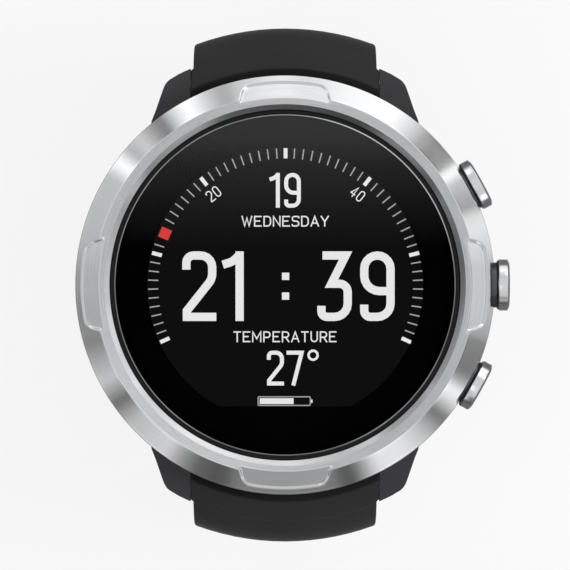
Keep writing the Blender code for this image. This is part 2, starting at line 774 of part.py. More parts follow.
def keeper(name, middle_deg, half_length, moving):
    """A loop round the band, set square to it on the bend."""
    (_, cy, cz), radius = bend_centre()
    turn = math.radians(middle_deg)
    out = Vector((0.0, math.cos(turn), math.sin(turn)))
    way = Vector((0.0, -math.sin(turn), math.cos(turn)))
    centre = Vector((0.0, cy, cz))
    verts, faces = [], []
    cuts = [(-1.0, 0.5), (-0.93, 0.15), (-0.8, 0.0), (0.8, 0.0), (0.93, 0.15), (1.0, 0.5)]
    for u, draw in cuts:
        for x, r in keeper_ring(KEEPER_OUTSIDE, draw) + keeper_ring(KEEPER_INSIDE, 0.0):
            verts.append(centre + Vector((x, 0, 0)) + out * (radius + r) + way * half_length * u)
    n = len(verts) // len(cuts) // 2
    for k in range(len(cuts) - 1):
        for i in range(2 * n):
            j = (i + 1) % n + (n if i >= n else 0)
            a, b = k * 2 * n, (k + 1) * 2 * n
            faces.append([a + i, a + j, b + j, b + i])
    for base in (0, 2 * n * (len(cuts) - 1)):
        for i in range(n):
            j = (i + 1) % n
            faces.append([base + i, base + j, base + n + j, base + n + i])
    origin = centre if moving else (0.0, 0.0, 0.0)
    make(name, verts, faces, RUBBER, origin)


def main():
    clear_scene()
    bezel()
    crystal()
    display()
    mid_case()
    case_back()
    case_screws()
    charging_contacts()
    electronics()
    buttons()
    spring_bars()
    strap_buckle()
    strap_tail()
    buckle()
    tongue()
    keeper("keeper_fixed", -82.0, 2.4, False)
    keeper("keeper_sliding", -51.0, 3.0, True)


main()
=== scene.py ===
import math

import bmesh
import bpy
from mathutils import Matrix, Vector


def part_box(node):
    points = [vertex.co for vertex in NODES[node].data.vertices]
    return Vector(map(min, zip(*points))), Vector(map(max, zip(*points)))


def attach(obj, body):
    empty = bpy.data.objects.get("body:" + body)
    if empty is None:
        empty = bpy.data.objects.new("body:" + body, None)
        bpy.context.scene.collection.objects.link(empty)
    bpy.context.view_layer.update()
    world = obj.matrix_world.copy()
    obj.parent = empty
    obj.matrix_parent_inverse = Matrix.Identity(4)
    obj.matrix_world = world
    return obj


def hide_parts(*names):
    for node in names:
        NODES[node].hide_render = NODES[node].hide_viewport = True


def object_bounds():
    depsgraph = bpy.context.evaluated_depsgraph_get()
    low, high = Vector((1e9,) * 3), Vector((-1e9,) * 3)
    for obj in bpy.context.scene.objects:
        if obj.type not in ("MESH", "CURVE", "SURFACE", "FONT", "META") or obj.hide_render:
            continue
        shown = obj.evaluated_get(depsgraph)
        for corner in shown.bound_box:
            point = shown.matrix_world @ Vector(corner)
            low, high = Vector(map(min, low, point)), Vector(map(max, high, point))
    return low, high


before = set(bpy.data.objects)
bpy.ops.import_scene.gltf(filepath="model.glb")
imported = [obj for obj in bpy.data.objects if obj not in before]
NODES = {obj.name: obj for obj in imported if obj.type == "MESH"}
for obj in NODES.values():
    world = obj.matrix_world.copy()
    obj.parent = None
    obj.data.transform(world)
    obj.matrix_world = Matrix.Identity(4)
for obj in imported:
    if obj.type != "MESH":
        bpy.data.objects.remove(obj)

# Looks of a wrist dive computer on an open strap loop. Lengths named here are millimetres, in
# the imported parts' own frame: +Z out of the glass, +Y to 12 o'clock, +X to the buttons. Studio
# places and sizes are metres.

CAD_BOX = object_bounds()
MM = 0.001


def box_mm(node):
    low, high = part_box(node)
    return low / MM, high / MM


# Bezel: a seat for the glass, a bevel, a flat ring and a cone down to the rim
BEZEL_LOW, BEZEL_HIGH = box_mm("bezel")
BEZEL_R = BEZEL_HIGH.y
BEZEL_TOP = BEZEL_HIGH.z
BEZEL_FOOT = BEZEL_LOW.z
SEAT_R = 21.0
SEAT_Z = 13.6
BORE_R = 22.15
BEVEL_FOOT = 15.683
RING_INNER_R = 22.8
RING_OUTER_R = 24.0
RING_ROUND = 0.04
CONE_FOOT = 14.3
CONE_FOOT_R = BEZEL_R - 0.1
RIM_CHAMFER = (0.45, 0.6)
RIM_ROUND = 0.12

# The four panels sunk in the cone
PANEL_MIDDLE_R = 24.8
PANEL_MIDDLE_Z = 15.34
PANEL_SLOPE = 0.77
PANEL_INNER_R = 23.2
PANEL_OUTER_R = 25.6
PANEL_HALF = 5.75
PANEL_HALF_R = 23.4
PANEL_TAPER = 0.24
PANEL_CORNER = 0.9
PANEL_WALL = 0.5
PANEL_FINISH_R = 23.55
PANEL_FINISH_SHARE = 0.97

# Glass
CRYSTAL_LOW, CRYSTAL_HIGH = box_mm("crystal")
CRYSTAL_TOP = CRYSTAL_HIGH.z
CRYSTAL_FOOT = CRYSTAL_LOW.z
CRYSTAL_R = 21.6

# Buttons: direction, sideways offset of the axis, reach of the cap's face, floor of the notch
BUTTONS = {
    "upper": (29.0, -0.59, 28.3, 26.15),
    "middle": (0.0, 0.0, 28.6, 25.95),
    "lower": (-29.0, 0.59, 28.3, 26.15),
}
BUTTON_Z = 7.2
CAP_R = 3.3
CAP_T = 1.5
COLLAR_R = 2.88
COLLAR_LENGTH = 1.0
STEM_R = 1.2
STEM_FOOT = 18.9
NOTCH_HALF = 2.9
NOTCH_WALL = 0.3
NOTCH_REACH = 4.0
NOTCH_DEPTH = 3.0

# Strap, from its end between the lugs to its tip or its loop round the buckle's bar. The walk
# of a half's middle line is (length, turn in degrees, steps)
SPRING_BAR = (25.5, 4.5)
SPRING_BAR_BORE_R = 1.02
HUB_R = 2.4
RELEASE_SLOT_X = 7.85
LUG_END = 29.98
END_HALF = 12.0
END_TOP_Y = 27.62
END_TOP_Z = 7.62
END_TOP_SLOPE = 0.64
BAND_HALF = 11.7
NARROWING = 0.6
NARROWING_LENGTH = 40.0
CENTRE_START = (28.5, 4.6)
START_HEADING = -40.0
FIRST_BEND = 6.46
END_THICKNESS = 4.2
BEND_THICKNESS = 3.6
TIP_THICKNESS = 2.6
THINNING = 0.045
CROWN_END = 27.0
CROWN_FADE = 19.0
CROWN_R = 32.0
CROWN_LEAST_R = 27.0
LOOP_R = 2.1
BUCKLE_BAR_BORE_R = 1.0
BORE_HALF = 13.0
BUCKLE_LEGS = (
    (FIRST_BEND, -50.0, 10),
    (28.0, -22.0, 16),
    (23.74, -68.0, 20),
    (5.7, 0.0, 4),
)
TAIL_LEGS = (
    (FIRST_BEND, -50.0, 10),
    (38.0, -12.0, 18),
    (21.8, -78.0, 20),
    (23.0, 0.0, 8),
    (11.5, -24.3, 7),
    (6.5, -13.7, 14),
)
TIP_LENGTH = 6.5
FIRST_HOLE = 11.0
HOLE_PITCH = 6.2
HOLE_COUNT = 9
CUT_REACH = 4.0
TONGUE_NOTCH = (1.9, 4.0, 2.8)
EDGE_ROUND = 0.3

# Display: angles are measured clockwise from 12 o'clock
DISPLAY_Z = box_mm("display_panel")[1].z
DISC_R = 20.9
TICK_COUNT = 61
TICK_STEP = 3.81
TICK_INNER_R = 16.1
TICK_OUTER_R = 17.38
DIAL_CENTRE = (0.07, -0.09)
BOLD_TICK_HALF = 0.24
FINE_TICK_HALF = 0.075
MARKER_R = 16.6
MARKER_ANGLE = -66.6
MARKER_HALF = 0.68
ACTIVE_R = 17.45
ACTIVE_FLAT_Y = -15.33

# Lines of the display: glyphs, centre, height, width of a glyph, gap, width of a stroke
WORDS = (
    ("WEDNESDAY", (0.02, 8.06), 1.36, 0.98, 0.21, 0.165),
    ("TEMPERATURE", (0.0, -6.54), 1.38, 0.94, 0.235, 0.165),
)
NUMBERS = (
    ("19", (0.02, 11.97), 4.4, 2.1, 0.55, 0.5),
    ("21", (-9.1, -0.15), 8.8, 4.3, 0.8, 1.04),
    ("39", (8.97, -0.15), 8.8, 4.36, 1.05, 1.04),
    ("27", (0.03, -10.5), 4.4, 2.16, 0.33, 0.5),
)
DIAL_LABELS = (("20", -10), ("40", 10))
DIAL_LABEL_R = 14.75
DIAL_LABEL_SIZES = (1.48, 0.74, 0.24, 0.14)
DEGREE_CENTRE = (3.55, -8.87)
DEGREE_R = 0.57
DEGREE_STROKE = 0.3
COLON_X = 0.07
COLON_YS = (1.1, -1.4)
COLON_HALF = 0.46
# Battery: left, right, foot and top of its case, then centre and half size of what is filled
BATTERY_CASE = (-3.4, 3.2, -15.22, -14.13)
BATTERY_FILLED = ((3.38, -14.68, 0.1, 0.2), (-1.06, -14.68, 2.14, 0.37))
BATTERY_STROKE = 0.13

SHARP_ANGLE = 32.0
ALMOST_STRAIGHT = 3.1
SAME_POINT = 1e-5


# ---- Mesh helpers ----


def make(name, verts, faces, mats, body, stands_for=(), place=None, face_mat=None,
         crease=SHARP_ANGLE):
    """A smooth-shaded piece from points in mm, riding on a body; crease is its sharp angle."""
    mesh = bpy.data.meshes.new(name)
    mesh.from_pydata([Vector(v) * MM for v in verts], [], faces)
    for mat in mats:
        mesh.materials.append(mat)
    if face_mat:
        mesh.polygons.foreach_set("material_index", face_mat)
    bm = bmesh.new()
    bm.from_mesh(mesh)
    bmesh.ops.remove_doubles(bm, verts=bm.verts, dist=2e-7)
    bmesh.ops.recalc_face_normals(bm, faces=bm.faces)
    bm.to_mesh(mesh)
    bm.free()
    mesh.shade_smooth()
    mesh.set_sharp_from_angle(angle=math.radians(crease))
    obj = bpy.data.objects.new(name, mesh)
    if place:
        obj.matrix_world = Matrix.Translation(place.translation * MM) @ place.to_3x3().to_4x4()
    bpy.context.scene.collection.objects.link(obj)
    if body:
        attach(obj, body)
    if stands_for:
        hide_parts(*stands_for)
    return obj


def rounded(points, radius, closed=False, steps=5):
    """A 2-D polyline with its corners turned into arcs; radius is one value or one per corner."""
    points = [Vector(p) for p in points]
    n = len(points)
    radii = radius if isinstance(radius, list) else [radius] * n
    out = []
    for i, corner in enumerate(points):
        if not closed and i in (0, n - 1):
            out.append(corner)
            continue
        before, after = points[i - 1] - corner, points[(i + 1) % n] - corner
        angle = before.angle(after, math.pi)
        if angle > ALMOST_STRAIGHT or radii[i] <= 0:
            out.append(corner)
            continue
        share = 0.5 if closed or n > 3 else 1.0
        cut = min(radii[i] / math.tan(angle / 2), before.length * share, after.length * share)
        r = cut * math.tan(angle / 2)
        a, b = before.normalized(), after.normalized()
        centre = corner + (a + b).normalized() * (r / math.sin(angle / 2))
        start, end = corner + a * cut - centre, corner + b * cut - centre
        sweep = start.angle_signed(end)
        for k in range(steps + 1):
            turn = -sweep * k / steps
            c, s = math.cos(turn), math.sin(turn)
            out.append(centre + Vector((start.x * c - start.y * s, start.x * s + start.y * c)))
    return out


def turned(name, profile, mats, body, segments=96, place=None, stands_for=(), bands=(),
           crease=SHARP_ANGLE):
    """A solid of revolution about the place's Z; bands gives a material index by profile step."""
    verts, rings = [], []
    for radius, height in profile:
        count = segments if radius > SAME_POINT else 1
        rings.append([len(verts) + i for i in range(count)])
        for i in range(count):
            turn = 2 * math.pi * i / segments
            verts.append((radius * math.cos(turn), radius * math.sin(turn), height))
    faces, face_mat = [], []
    for k, (a, b) in enumerate(zip(rings, rings[1:] + rings[:1])):
        if len(a) == 1 and len(b) == 1:
            continue
        for i in range(segments):
            j = (i + 1) % segments
            loop = [a[i % len(a)], a[j % len(a)], b[j % len(b)], b[i % len(b)]]
            faces.append(list(dict.fromkeys(loop)))
            face_mat.append(bands[k] if k < len(bands) else 0)
    return make(name, verts, faces, mats, body, stands_for, place, face_mat, crease)


def soften(obj, width):
    """Rounds an object's sharp edges."""
    bevel = obj.modifiers.new("soften", "BEVEL")
    bevel.width = width * MM
    bevel.segments = 3
    bevel.limit_method = "ANGLE"
    bevel.angle_limit = math.radians(35)
    bevel.harden_normals = True


# ---- Materials ----


def new_material(name, colour, metallic, roughness):
    """A material, its node tree and its shader."""
    mat = bpy.data.materials.new(name)
    mat.use_nodes = True
    shader = mat.node_tree.nodes["Principled BSDF"]
    shader.inputs["Base Color"].default_value = (*colour, 1.0)
    shader.inputs["Metallic"].default_value = metallic
    shader.inputs["Roughness"].default_value = roughness
    return mat, mat.node_tree, shader


def node(tree, kind, **values):
    """A node with its inputs and properties set; a socket value links, anything else is set."""
    made = tree.nodes.new(kind)
    for key, value in values.items():
        if key.startswith("in_"):
            socket = made.inputs[int(key[3:])]
            if isinstance(value, bpy.types.NodeSocket):
                tree.links.new(value, socket)
            else:
                socket.default_value = value
        else:
            setattr(made, key, value)
    return made


def math_node(tree, operation, a, b=0.0):
    return node(tree, "ShaderNodeMath", operation=operation, in_0=a, in_1=b).outputs[0]


def ramp(tree, factor, stops):
    """A colour ramp; stops are (position, colour or grey)."""
    made = node(tree, "ShaderNodeValToRGB", in_0=factor)
    elements = made.color_ramp.elements
    for i, (position, colour) in enumerate(stops):
        colour = (colour,) * 3 if isinstance(colour, (int, float)) else colour
        element = elements[i] if i < 2 else elements.new(position)
        element.position = position
        element.color = (*colour, 1.0)
    return made.outputs[0]


def round_grain(tree, across, along):
    """Noise drawn out round the object's Z axis, as left by a lathe or a polishing belt."""
    place = node(tree, "ShaderNodeTexCoord").outputs["Object"]
    parts = node(tree, "ShaderNodeSeparateXYZ", in_0=place).outputs
    flat = node(tree, "ShaderNodeCombineXYZ", in_0=parts[0], in_1=parts[1]).outputs[0]
    radius = node(tree, "ShaderNodeVectorMath", operation="LENGTH", in_0=flat).outputs["Value"]
    angle = math_node(tree, "ARCTAN2", parts[1], parts[0])
    slope = math_node(tree, "SUBTRACT", radius, parts[2])
    vector = node(
        tree,
        "ShaderNodeCombineXYZ",
        in_0=math_node(tree, "MULTIPLY", slope, across),
        in_1=math_node(tree, "MULTIPLY", angle, along),
    ).outputs[0]
    return node(tree, "ShaderNodeTexNoise", in_0=vector, in_2=1.0, in_3=4.0).outputs[0]


def straight_grain(tree, across, along):
    """Noise drawn out along the object's X axis."""
    place = node(tree, "ShaderNodeTexCoord").outputs["Object"]
    scaled = node(
        tree, "ShaderNodeVectorMath", operation="MULTIPLY", in_0=place, in_1=(along, across, across)
    ).outputs[0]
    return node(tree, "ShaderNodeTexNoise", in_0=scaled, in_2=1.0, in_3=4.0).outputs[0]


def steel(name, colour, roughness, grain, across, along, relief, stretch=0.0):
    """Steel with drawn-out scratches in its roughness, tone and relief."""
    mat, tree, shader = new_material(name, colour, 1.0, roughness)
    noise = grain(tree, across, along)
    dark = tuple(c * 0.9 for c in colour)
    tone = ramp(tree, noise, ((0.3, dark), (0.7, colour)))
    tree.links.new(tone, shader.inputs["Base Color"])
    spread = ramp(tree, noise, ((0.25, roughness * 0.8), (0.75, min(1.0, roughness * 1.25))))
    tree.links.new(spread, shader.inputs["Roughness"])
    bump = node(tree, "ShaderNodeBump", in_0=relief, in_1=0.02 * MM)
    tree.links.new(noise, bump.inputs["Height"])
    tree.links.new(bump.outputs[0], shader.inputs["Normal"])
    if stretch:
        shader.inputs["Anisotropic"].default_value = stretch
        shader.inputs["Anisotropic Rotation"].default_value = 0.25
        tangent = node(tree, "ShaderNodeTangent", direction_type="RADIAL", axis="Z")
        tree.links.new(tangent.outputs[0], shader.inputs["Tangent"])
    return mat


def moulded(name, colour, roughness, grain_mm, relief, sheen=0.0):
    """A moulded rubber or plastic with a fine spark-eroded grain and slow changes of gloss."""
    mat, tree, shader = new_material(name, colour, 0.0, roughness)
    place = node(tree, "ShaderNodeTexCoord").outputs["Object"]
    fine = node(tree, "ShaderNodeTexNoise", in_0=place, in_2=1.0 / (grain_mm * MM), in_3=3.0)
    slow = node(tree, "ShaderNodeTexNoise", in_0=place, in_2=90.0, in_3=4.0)
    light = tuple(c * 1.35 for c in colour)
    tone = ramp(tree, slow.outputs[0], ((0.3, colour), (0.75, light)))
    tree.links.new(tone, shader.inputs["Base Color"])
    gloss = ramp(tree, slow.outputs[0], ((0.3, roughness * 0.9), (0.7, min(1.0, roughness * 1.12))))
    tree.links.new(gloss, shader.inputs["Roughness"])
    if relief:
        bump = node(tree, "ShaderNodeBump", in_0=relief, in_1=0.03 * MM)
        tree.links.new(fine.outputs[0], bump.inputs["Height"])
        tree.links.new(bump.outputs[0], shader.inputs["Normal"])
    shader.inputs["Specular IOR Level"].default_value = 0.22
    shader.inputs["Sheen Weight"].default_value = sheen
    shader.inputs["Sheen Roughness"].default_value = 0.6
    return mat


def painted_glow(name, colour, strength):
    """A display element whose brightness is painted glow, standing in for the studio light it
    reflects.
    """
    mat, _, shader = new_material(name, (0.0, 0.0, 0.0), 0.0, 0.8)
    shader.inputs["Specular IOR Level"].default_value = 0.0
    shader.inputs["Emission Color"].default_value = (*colour, 1.0)
    shader.inputs["Emission Strength"].default_value = strength
    return mat


def clear_glass(name):
    mat, _, shader = new_material(name, (1.0, 1.0, 1.0), 0.0, 0.0)
    shader.inputs["Transmission Weight"].default_value = 1.0
    shader.inputs["IOR"].default_value = 1.5
    return mat


BRUSHED = steel("brushed_steel", (0.80, 0.805, 0.815), 0.145, round_grain, 22000.0, 2.5, 0.12, 1.0)
SATIN = steel("satin_ring_steel", (0.78, 0.783, 0.79), 0.13, round_grain, 22000.0, 2.5, 0.1, 0.4)
POLISHED = steel("polished_panel_steel", (0.74, 0.75, 0.77), 0.09, round_grain, 2000.0, 4.0, 0.006)
BEVEL = steel("bevel_steel", (0.74, 0.745, 0.76), 0.12, round_grain, 12000.0, 1.5, 0.002)
TURNED = steel("turned_steel", (0.9, 0.905, 0.915), 0.2, round_grain, 26000.0, 1.5, 0.1)
BUCKLE_STEEL = steel("buckle_steel", (0.66, 0.665, 0.675), 0.3, straight_grain, 9000.0, 300.0, 0.15)
DARK_STEEL = steel("dark_steel", (0.16, 0.163, 0.17), 0.38, round_grain, 16000.0, 3.0, 0.12)
GOLD = steel("contact_gold", (0.83, 0.66, 0.32), 0.25, round_grain, 16000.0, 3.0, 0.08)
RUBBER = moulded("strap_rubber", (0.0135, 0.0135, 0.0145), 0.55, 0.16, 0.35, 0.03)
POLYMER = moulded("case_polymer", (0.028, 0.028, 0.03), 0.42, 0.12, 0.3, 0.05)
SEAL = moulded("seal_rubber", (0.008, 0.008, 0.008), 0.6, 0.1, 0.2)
MASK = moulded("display_mask", (0.0015, 0.0015, 0.0015), 0.6, 0.1, 0.0)
MASK.node_tree.nodes["Principled BSDF"].inputs["Specular IOR Level"].default_value = 0.0
BOARD = moulded("board_lacquer", (0.015, 0.10, 0.05), 0.35, 0.4, 0.2)
FOIL = steel("battery_foil", (0.6, 0.6, 0.62), 0.35, straight_grain, 3000.0, 300.0, 0.2)
GLASS = clear_glass("clear_glass")
GLASS_EDGE = steel("glass_edge", (0.33, 0.34, 0.35), 0.22, round_grain, 12000.0, 1.5, 0.02)
# Painted light: the active area, ticks, words, digits and marker glow instead of reflecting the studio
# light.
ACTIVE = painted_glow("display_active", (1.0, 1.0, 1.0), 0.0052)
WHITE = painted_glow("display_white", (1.0, 1.0, 1.0), 0.86)
GREY = painted_glow("display_grey", (1.0, 1.0, 1.0), 0.42)
RED = painted_glow("display_red", (0.72, 0.055, 0.05), 0.95)


# ---- Bezel ----


def cone_height(radius):
    slope = (BEZEL_TOP - CONE_FOOT) / (CONE_FOOT_R - RING_OUTER_R)
    return BEZEL_TOP - slope * (radius - RING_OUTER_R)


def ease(x):
    x = min(1.0, max(0.0, x))
    return x * x * (3 - 2 * x)


def panel_share(radius, turn):
    """How far inside a sunk panel a point lies, from 0 outside to 1 on the panel's floor."""
    nearest = round(turn / (math.pi / 2)) * (math.pi / 2)
    side = abs(radius * math.sin(turn - nearest))
    half = PANEL_HALF - PANEL_TAPER * (radius - PANEL_HALF_R)
    dx = side - (half - PANEL_CORNER)
    dr = radius - (PANEL_OUTER_R - PANEL_CORNER)
    if dx > 0 and dr > 0:
        gap = PANEL_CORNER - math.hypot(dx, dr)
    else:
        gap = PANEL_CORNER - max(dx, dr)
    return ease(gap / PANEL_WALL + 0.5)


def bezel_turns():
    """Turns round the dial, closer together at the sides of the panels and notches."""
    panel_side, panel_reach, notch_side, notch_reach = 12.9, 1.9, 6.6, 0.7
    fine_step, coarse_step = 0.15, 0.75
    fine = []
    for sign in (-1, 1):
        fine += [(90.0 * quarter + sign * panel_side, panel_reach) for quarter in range(4)]
        fine += [(angle + sign * notch_side, notch_reach) for angle, *_ in BUTTONS.values()]
    turns, t = [], -45.0
    while t < 315.0 - 1e-6:
        turns.append(math.radians(t))
        near = any(abs((t - side + 180) % 360 - 180) < reach for side, reach in fine)
        t += fine_step if near else coarse_step
    return turns


def notch_point(point):
    """Draws a point of the rim in to the flat floor of a button's notch."""
    for angle, offset, _, notch in BUTTONS.values():
        turn = math.radians(angle)
        out = Vector((math.cos(turn), math.sin(turn)))
        side = Vector((-out.y, out.x))
        flat = Vector((point[0], point[1]))
        across = flat.dot(side) - offset
        wall = (abs(across) - NOTCH_HALF + 0.22) / NOTCH_WALL
        over = flat.dot(out) - notch - NOTCH_DEPTH * ease(wall)
        if abs(across) < NOTCH_REACH and over > 0:
            flat -= out * over
            return (flat.x, flat.y, point[2])
    return point


def bezel_rows():
    """The bezel's section as (radius, height), with close rows where the panels are sunk."""
    top = BEZEL_TOP
    rows = [(BORE_R, SEAT_Z), (BORE_R, BEVEL_FOOT), (RING_INNER_R, top)]
    rows += [(PANEL_INNER_R + 0.1 * i, top) for i in range(8)]
    edge = RING_OUTER_R + RING_ROUND
    rows += [(23.97, top), (edge, cone_height(edge) - 0.008)]
    rows += [(r, cone_height(r)) for r in (edge + 0.084 * i for i in range(1, 26))]
    foot = cone_height(BEZEL_R - 0.14)
    chamfer_in, chamfer_up = RIM_CHAMFER
    rim = [(BEZEL_R - 0.2, cone_height(BEZEL_R - 0.2)), (BEZEL_R, foot - 0.1)]
    rim += [(BEZEL_R, BEZEL_FOOT + chamfer_up), (BEZEL_R - chamfer_in, BEZEL_FOOT)]
    rim += [(SEAT_R, BEZEL_FOOT), (SEAT_R, SEAT_Z)]
    return rows + [(p.x, p.y) for p in rounded(rim, RIM_ROUND, steps=3)]


def bezel_finish(radius, height, turn):
    """The finish of the bezel's surface at a place; the steel bore wall gets black seal rubber as
    painted shade.
    """
    # Painted shade: the bore wall below the bevel is steel, drawn in black seal rubber for the shadow
    # there.
    if radius <= BORE_R:
        return SEAL
    sunk = panel_share(radius, turn) > PANEL_FINISH_SHARE
    if height > CONE_FOOT and radius > PANEL_FINISH_R and sunk:
        return POLISHED
    if radius < RING_INNER_R:
        return BEVEL
    return BRUSHED if radius > RING_OUTER_R + RING_ROUND / 2 else SATIN


def bezel():
    rows, turns = bezel_rows(), bezel_turns()
    verts = []
    for turn in turns:
        c, s = math.cos(turn), math.sin(turn)
        for radius, height in rows:
            if radius > PANEL_INNER_R and height > CONE_FOOT:
                floor = min(height, PANEL_MIDDLE_Z - PANEL_SLOPE * (radius - PANEL_MIDDLE_R))
                height += (floor - height) * panel_share(radius, turn)
            verts.append(notch_point((radius * c, radius * s, height)))
    n = len(rows)
    finishes = [BRUSHED, SATIN, POLISHED, BEVEL, SEAL]
    faces, face_mat = [], []
    for i, turn in enumerate(turns):
        j = (i + 1) % len(turns)
        for k in range(n):
            m = (k + 1) % n
            faces.append([i * n + k, i * n + m, j * n + m, j * n + k])
            finish = bezel_finish((rows[k][0] + rows[m][0]) / 2, rows[k][1], turn)
            face_mat.append(finishes.index(finish))
    make("bezel_ring", verts, faces, finishes, "case", ("bezel",), face_mat=face_mat)


# ---- Glass and display ----


def crystal():
    """The glass, with a polished edge and a dark printed wall."""
    profile = [(0.0, CRYSTAL_TOP), (CRYSTAL_R - 0.2, CRYSTAL_TOP)]
    profile += [(CRYSTAL_R - 0.06, CRYSTAL_TOP - 0.07), (CRYSTAL_R, CRYSTAL_TOP - 0.2)]
    profile += [(CRYSTAL_R, CRYSTAL_FOOT + 0.1), (CRYSTAL_R - 0.15, CRYSTAL_FOOT)]
    profile.append((0.0, CRYSTAL_FOOT))
    bands = (0, 1, 2, 2, 0, 0)
    turned("crystal_glass", profile, [GLASS, GLASS_EDGE, SEAL], "case", 180, None, ("crystal",),
           bands=bands, crease=12.0)


def prism(outline, low, high):
    """Points and faces of one closed flat shape."""
    n = len(outline)
    verts = [(p[0], p[1], low) for p in outline] + [(p[0], p[1], high) for p in outline]
    faces = [list(range(n))[::-1], list(range(n, 2 * n))]
    faces += [[i, (i + 1) % n, n + (i + 1) % n, n + i] for i in range(n)]
    return verts, faces


def strip_solid(strip, low, high):
    """Points and faces of a stroke given as pairs of side points, closed or with two ends."""
    pairs, closed = strip
    n = len(pairs)
    verts = []
    for left, right in pairs:
        verts += [(*left, low), (*right, low), (*right, high), (*left, high)]
    faces = []
    for i in range(n if closed else n - 1):
        a, b = 4 * i, 4 * ((i + 1) % n)
        faces += [[a + k, b + k, b + (k + 1) % 4, a + (k + 1) % 4] for k in range(4)]
    if not closed:
        faces += [[0, 1, 2, 3], [4 * n - 1, 4 * n - 2, 4 * n - 3, 4 * n - 4]]
    return verts, faces


def flat_shapes(name, shapes, mat, low, high):
    """Several flat shapes lying on the display, as one piece: outlines or strokes."""
    verts, faces = [], []
    for shape in shapes:
        solid = strip_solid if isinstance(shape, tuple) else prism
        more, loops = solid(shape, low, high)
        faces += [[i + len(verts) for i in loop] for loop in loops]
        verts += more
    return make(name, verts, faces, [mat], "case")


def ribbon(points, width, closed=False):
    """A stroke of even width along a polyline, as pairs of points on its two sides."""
    points = [Vector(p) for p in points]
    points = [p for i, p in enumerate(points) if not i or (p - points[i - 1]).length > SAME_POINT]
    if closed and (points[0] - points[-1]).length < SAME_POINT:
        points.pop()
    n = len(points)
    pairs = []
    for i, p in enumerate(points):
        before = p - points[i - 1] if i or closed else None
        after = points[(i + 1) % n] - p if i < n - 1 or closed else None
        ways = [w.normalized() for w in (before, after) if w is not None]
        way = sum(ways, Vector((0, 0))).normalized()
        side = Vector((-way.y, way.x)) * (width / 2 / max(0.4, way.dot(ways[0])))
        pairs.append((p + side, p - side))
    return pairs, closed


# Strokes of each glyph on a cell one wide and one high. A third value 1 rounds that corner.
GLYPHS = {
    "0": [[(0, 0.5), (0, 0, 1), (1, 0, 1), (1, 1, 1), (0, 1, 1), (0, 0.5)]],
    "1": [[(1, 0), (1, 1)], [(0, 0.87), (0.45, 0.9, 1), (0.95, 1)]],
    "2": [[(0, 0.77), (0, 1, 1), (1, 1, 1), (1, 0.62, 1), (0.02, 0.1), (0.02, 0), (1, 0)]],
    "3": [[(0.04, 1), (0.92, 1), (0.38, 0.54), (1, 0.54, 1), (1, 0, 1), (0, 0, 1), (0, 0.18)]],
    "4": [[(0.72, 0), (0.72, 1), (0, 0.25), (1, 0.25)]],
    "7": [[(0, 1), (1, 1), (0.4, 0)]],
    "9": [[(1, 0.42), (0, 0.42, 1), (0, 1, 1), (1, 1, 1), (1, 0, 1), (0, 0, 1), (0, 0.2)]],
    "A": [[(0, 0), (0.5, 1), (1, 0)], [(0.2, 0.3), (0.8, 0.3)]],
    "D": [[(0, 0.5), (0, 0), (1, 0, 1), (1, 1, 1), (0, 1), (0, 0.5)]],
    "E": [[(1, 1), (0, 1), (0, 0), (1, 0)], [(0, 0.52), (0.85, 0.52)]],
    "M": [[(0, 0), (0, 1), (0.5, 0.3), (1, 1), (1, 0)]],
    "N": [[(0, 0), (0, 1), (1, 0), (1, 1)]],
    "P": [[(0, 0), (0, 1), (1, 1, 1), (1, 0.43, 1), (0, 0.43)]],
    "R": [[(0, 0), (0, 1), (1, 1, 1), (1, 0.45, 1), (0, 0.45)], [(0.5, 0.45), (1, 0)]],
    "S": [
        [(1, 0.8), (1, 1, 1), (0, 1, 1), (0, 0.53, 1), (1, 0.49, 1), (1, 0, 1), (0, 0, 1), (0, 0.2)],
    ],
    "T": [[(0, 1), (1, 1)], [(0.5, 1), (0.5, 0)]],
    "U": [[(0, 1), (0, 0, 1), (1, 0, 1), (1, 1)]],
    "W": [[(0, 1), (0.27, 0), (0.5, 0.85), (0.73, 0), (1, 1)]],
    "Y": [[(0, 1), (0.5, 0.45), (1, 1)], [(0.5, 0.45), (0.5, 0)]],
}
WIDTH_OF = {"1": 0.62, "M": 1.25, "W": 1.4, "A": 1.1, "Y": 1.05}


def stroke_end(point, neighbour, cell_uv, stroke):
    """A stroke's end, run on to the edge of its cell where it points at that edge."""
    way = (point - neighbour).normalized()
    u, v = cell_uv[:2]
    if v in (0, 1) and abs(way.y) > abs(way.x):
        return point + way * (stroke / 2 / abs(way.y))
    if u in (0, 1) and abs(way.x) > abs(way.y):
        return point + way * (stroke / 2)
    return point


def write(text, centre, height, width, gap, stroke, turn=0.0):
    """Strokes of a line of glyphs centred on a point; sizes are over the strokes."""
    widths = [WIDTH_OF.get(c, 1.0) * width for c in text]
    x = -(sum(widths) + gap * (len(text) - 1)) / 2
    c, s = math.cos(turn), math.sin(turn)
    strokes = []
    for letter, wide in zip(text, widths):
        for line in GLYPHS[letter]:
            cell, radii = [], []
            for u, v, *soft in line:
                across = x + stroke / 2 + u * (wide - stroke)
                up = -height / 2 + stroke / 2 + v * (height - stroke)
                cell.append(Vector((across, up)))
                radii.append(0.45 * width if soft else 0.0)
            closed = line[0] == line[-1]
            if not closed:
                first = stroke_end(cell[0], cell[1], line[0], stroke)
                last = stroke_end(cell[-1], cell[-2], line[-1], stroke)
                cell[0], cell[-1] = first, last
            path = [
                (centre[0] + p.x * c - p.y * s, centre[1] + p.x * s + p.y * c)
                for p in rounded(cell, radii)
            ]
            strokes.append(ribbon(path, stroke, closed))
        x += wide + gap
    return strokes


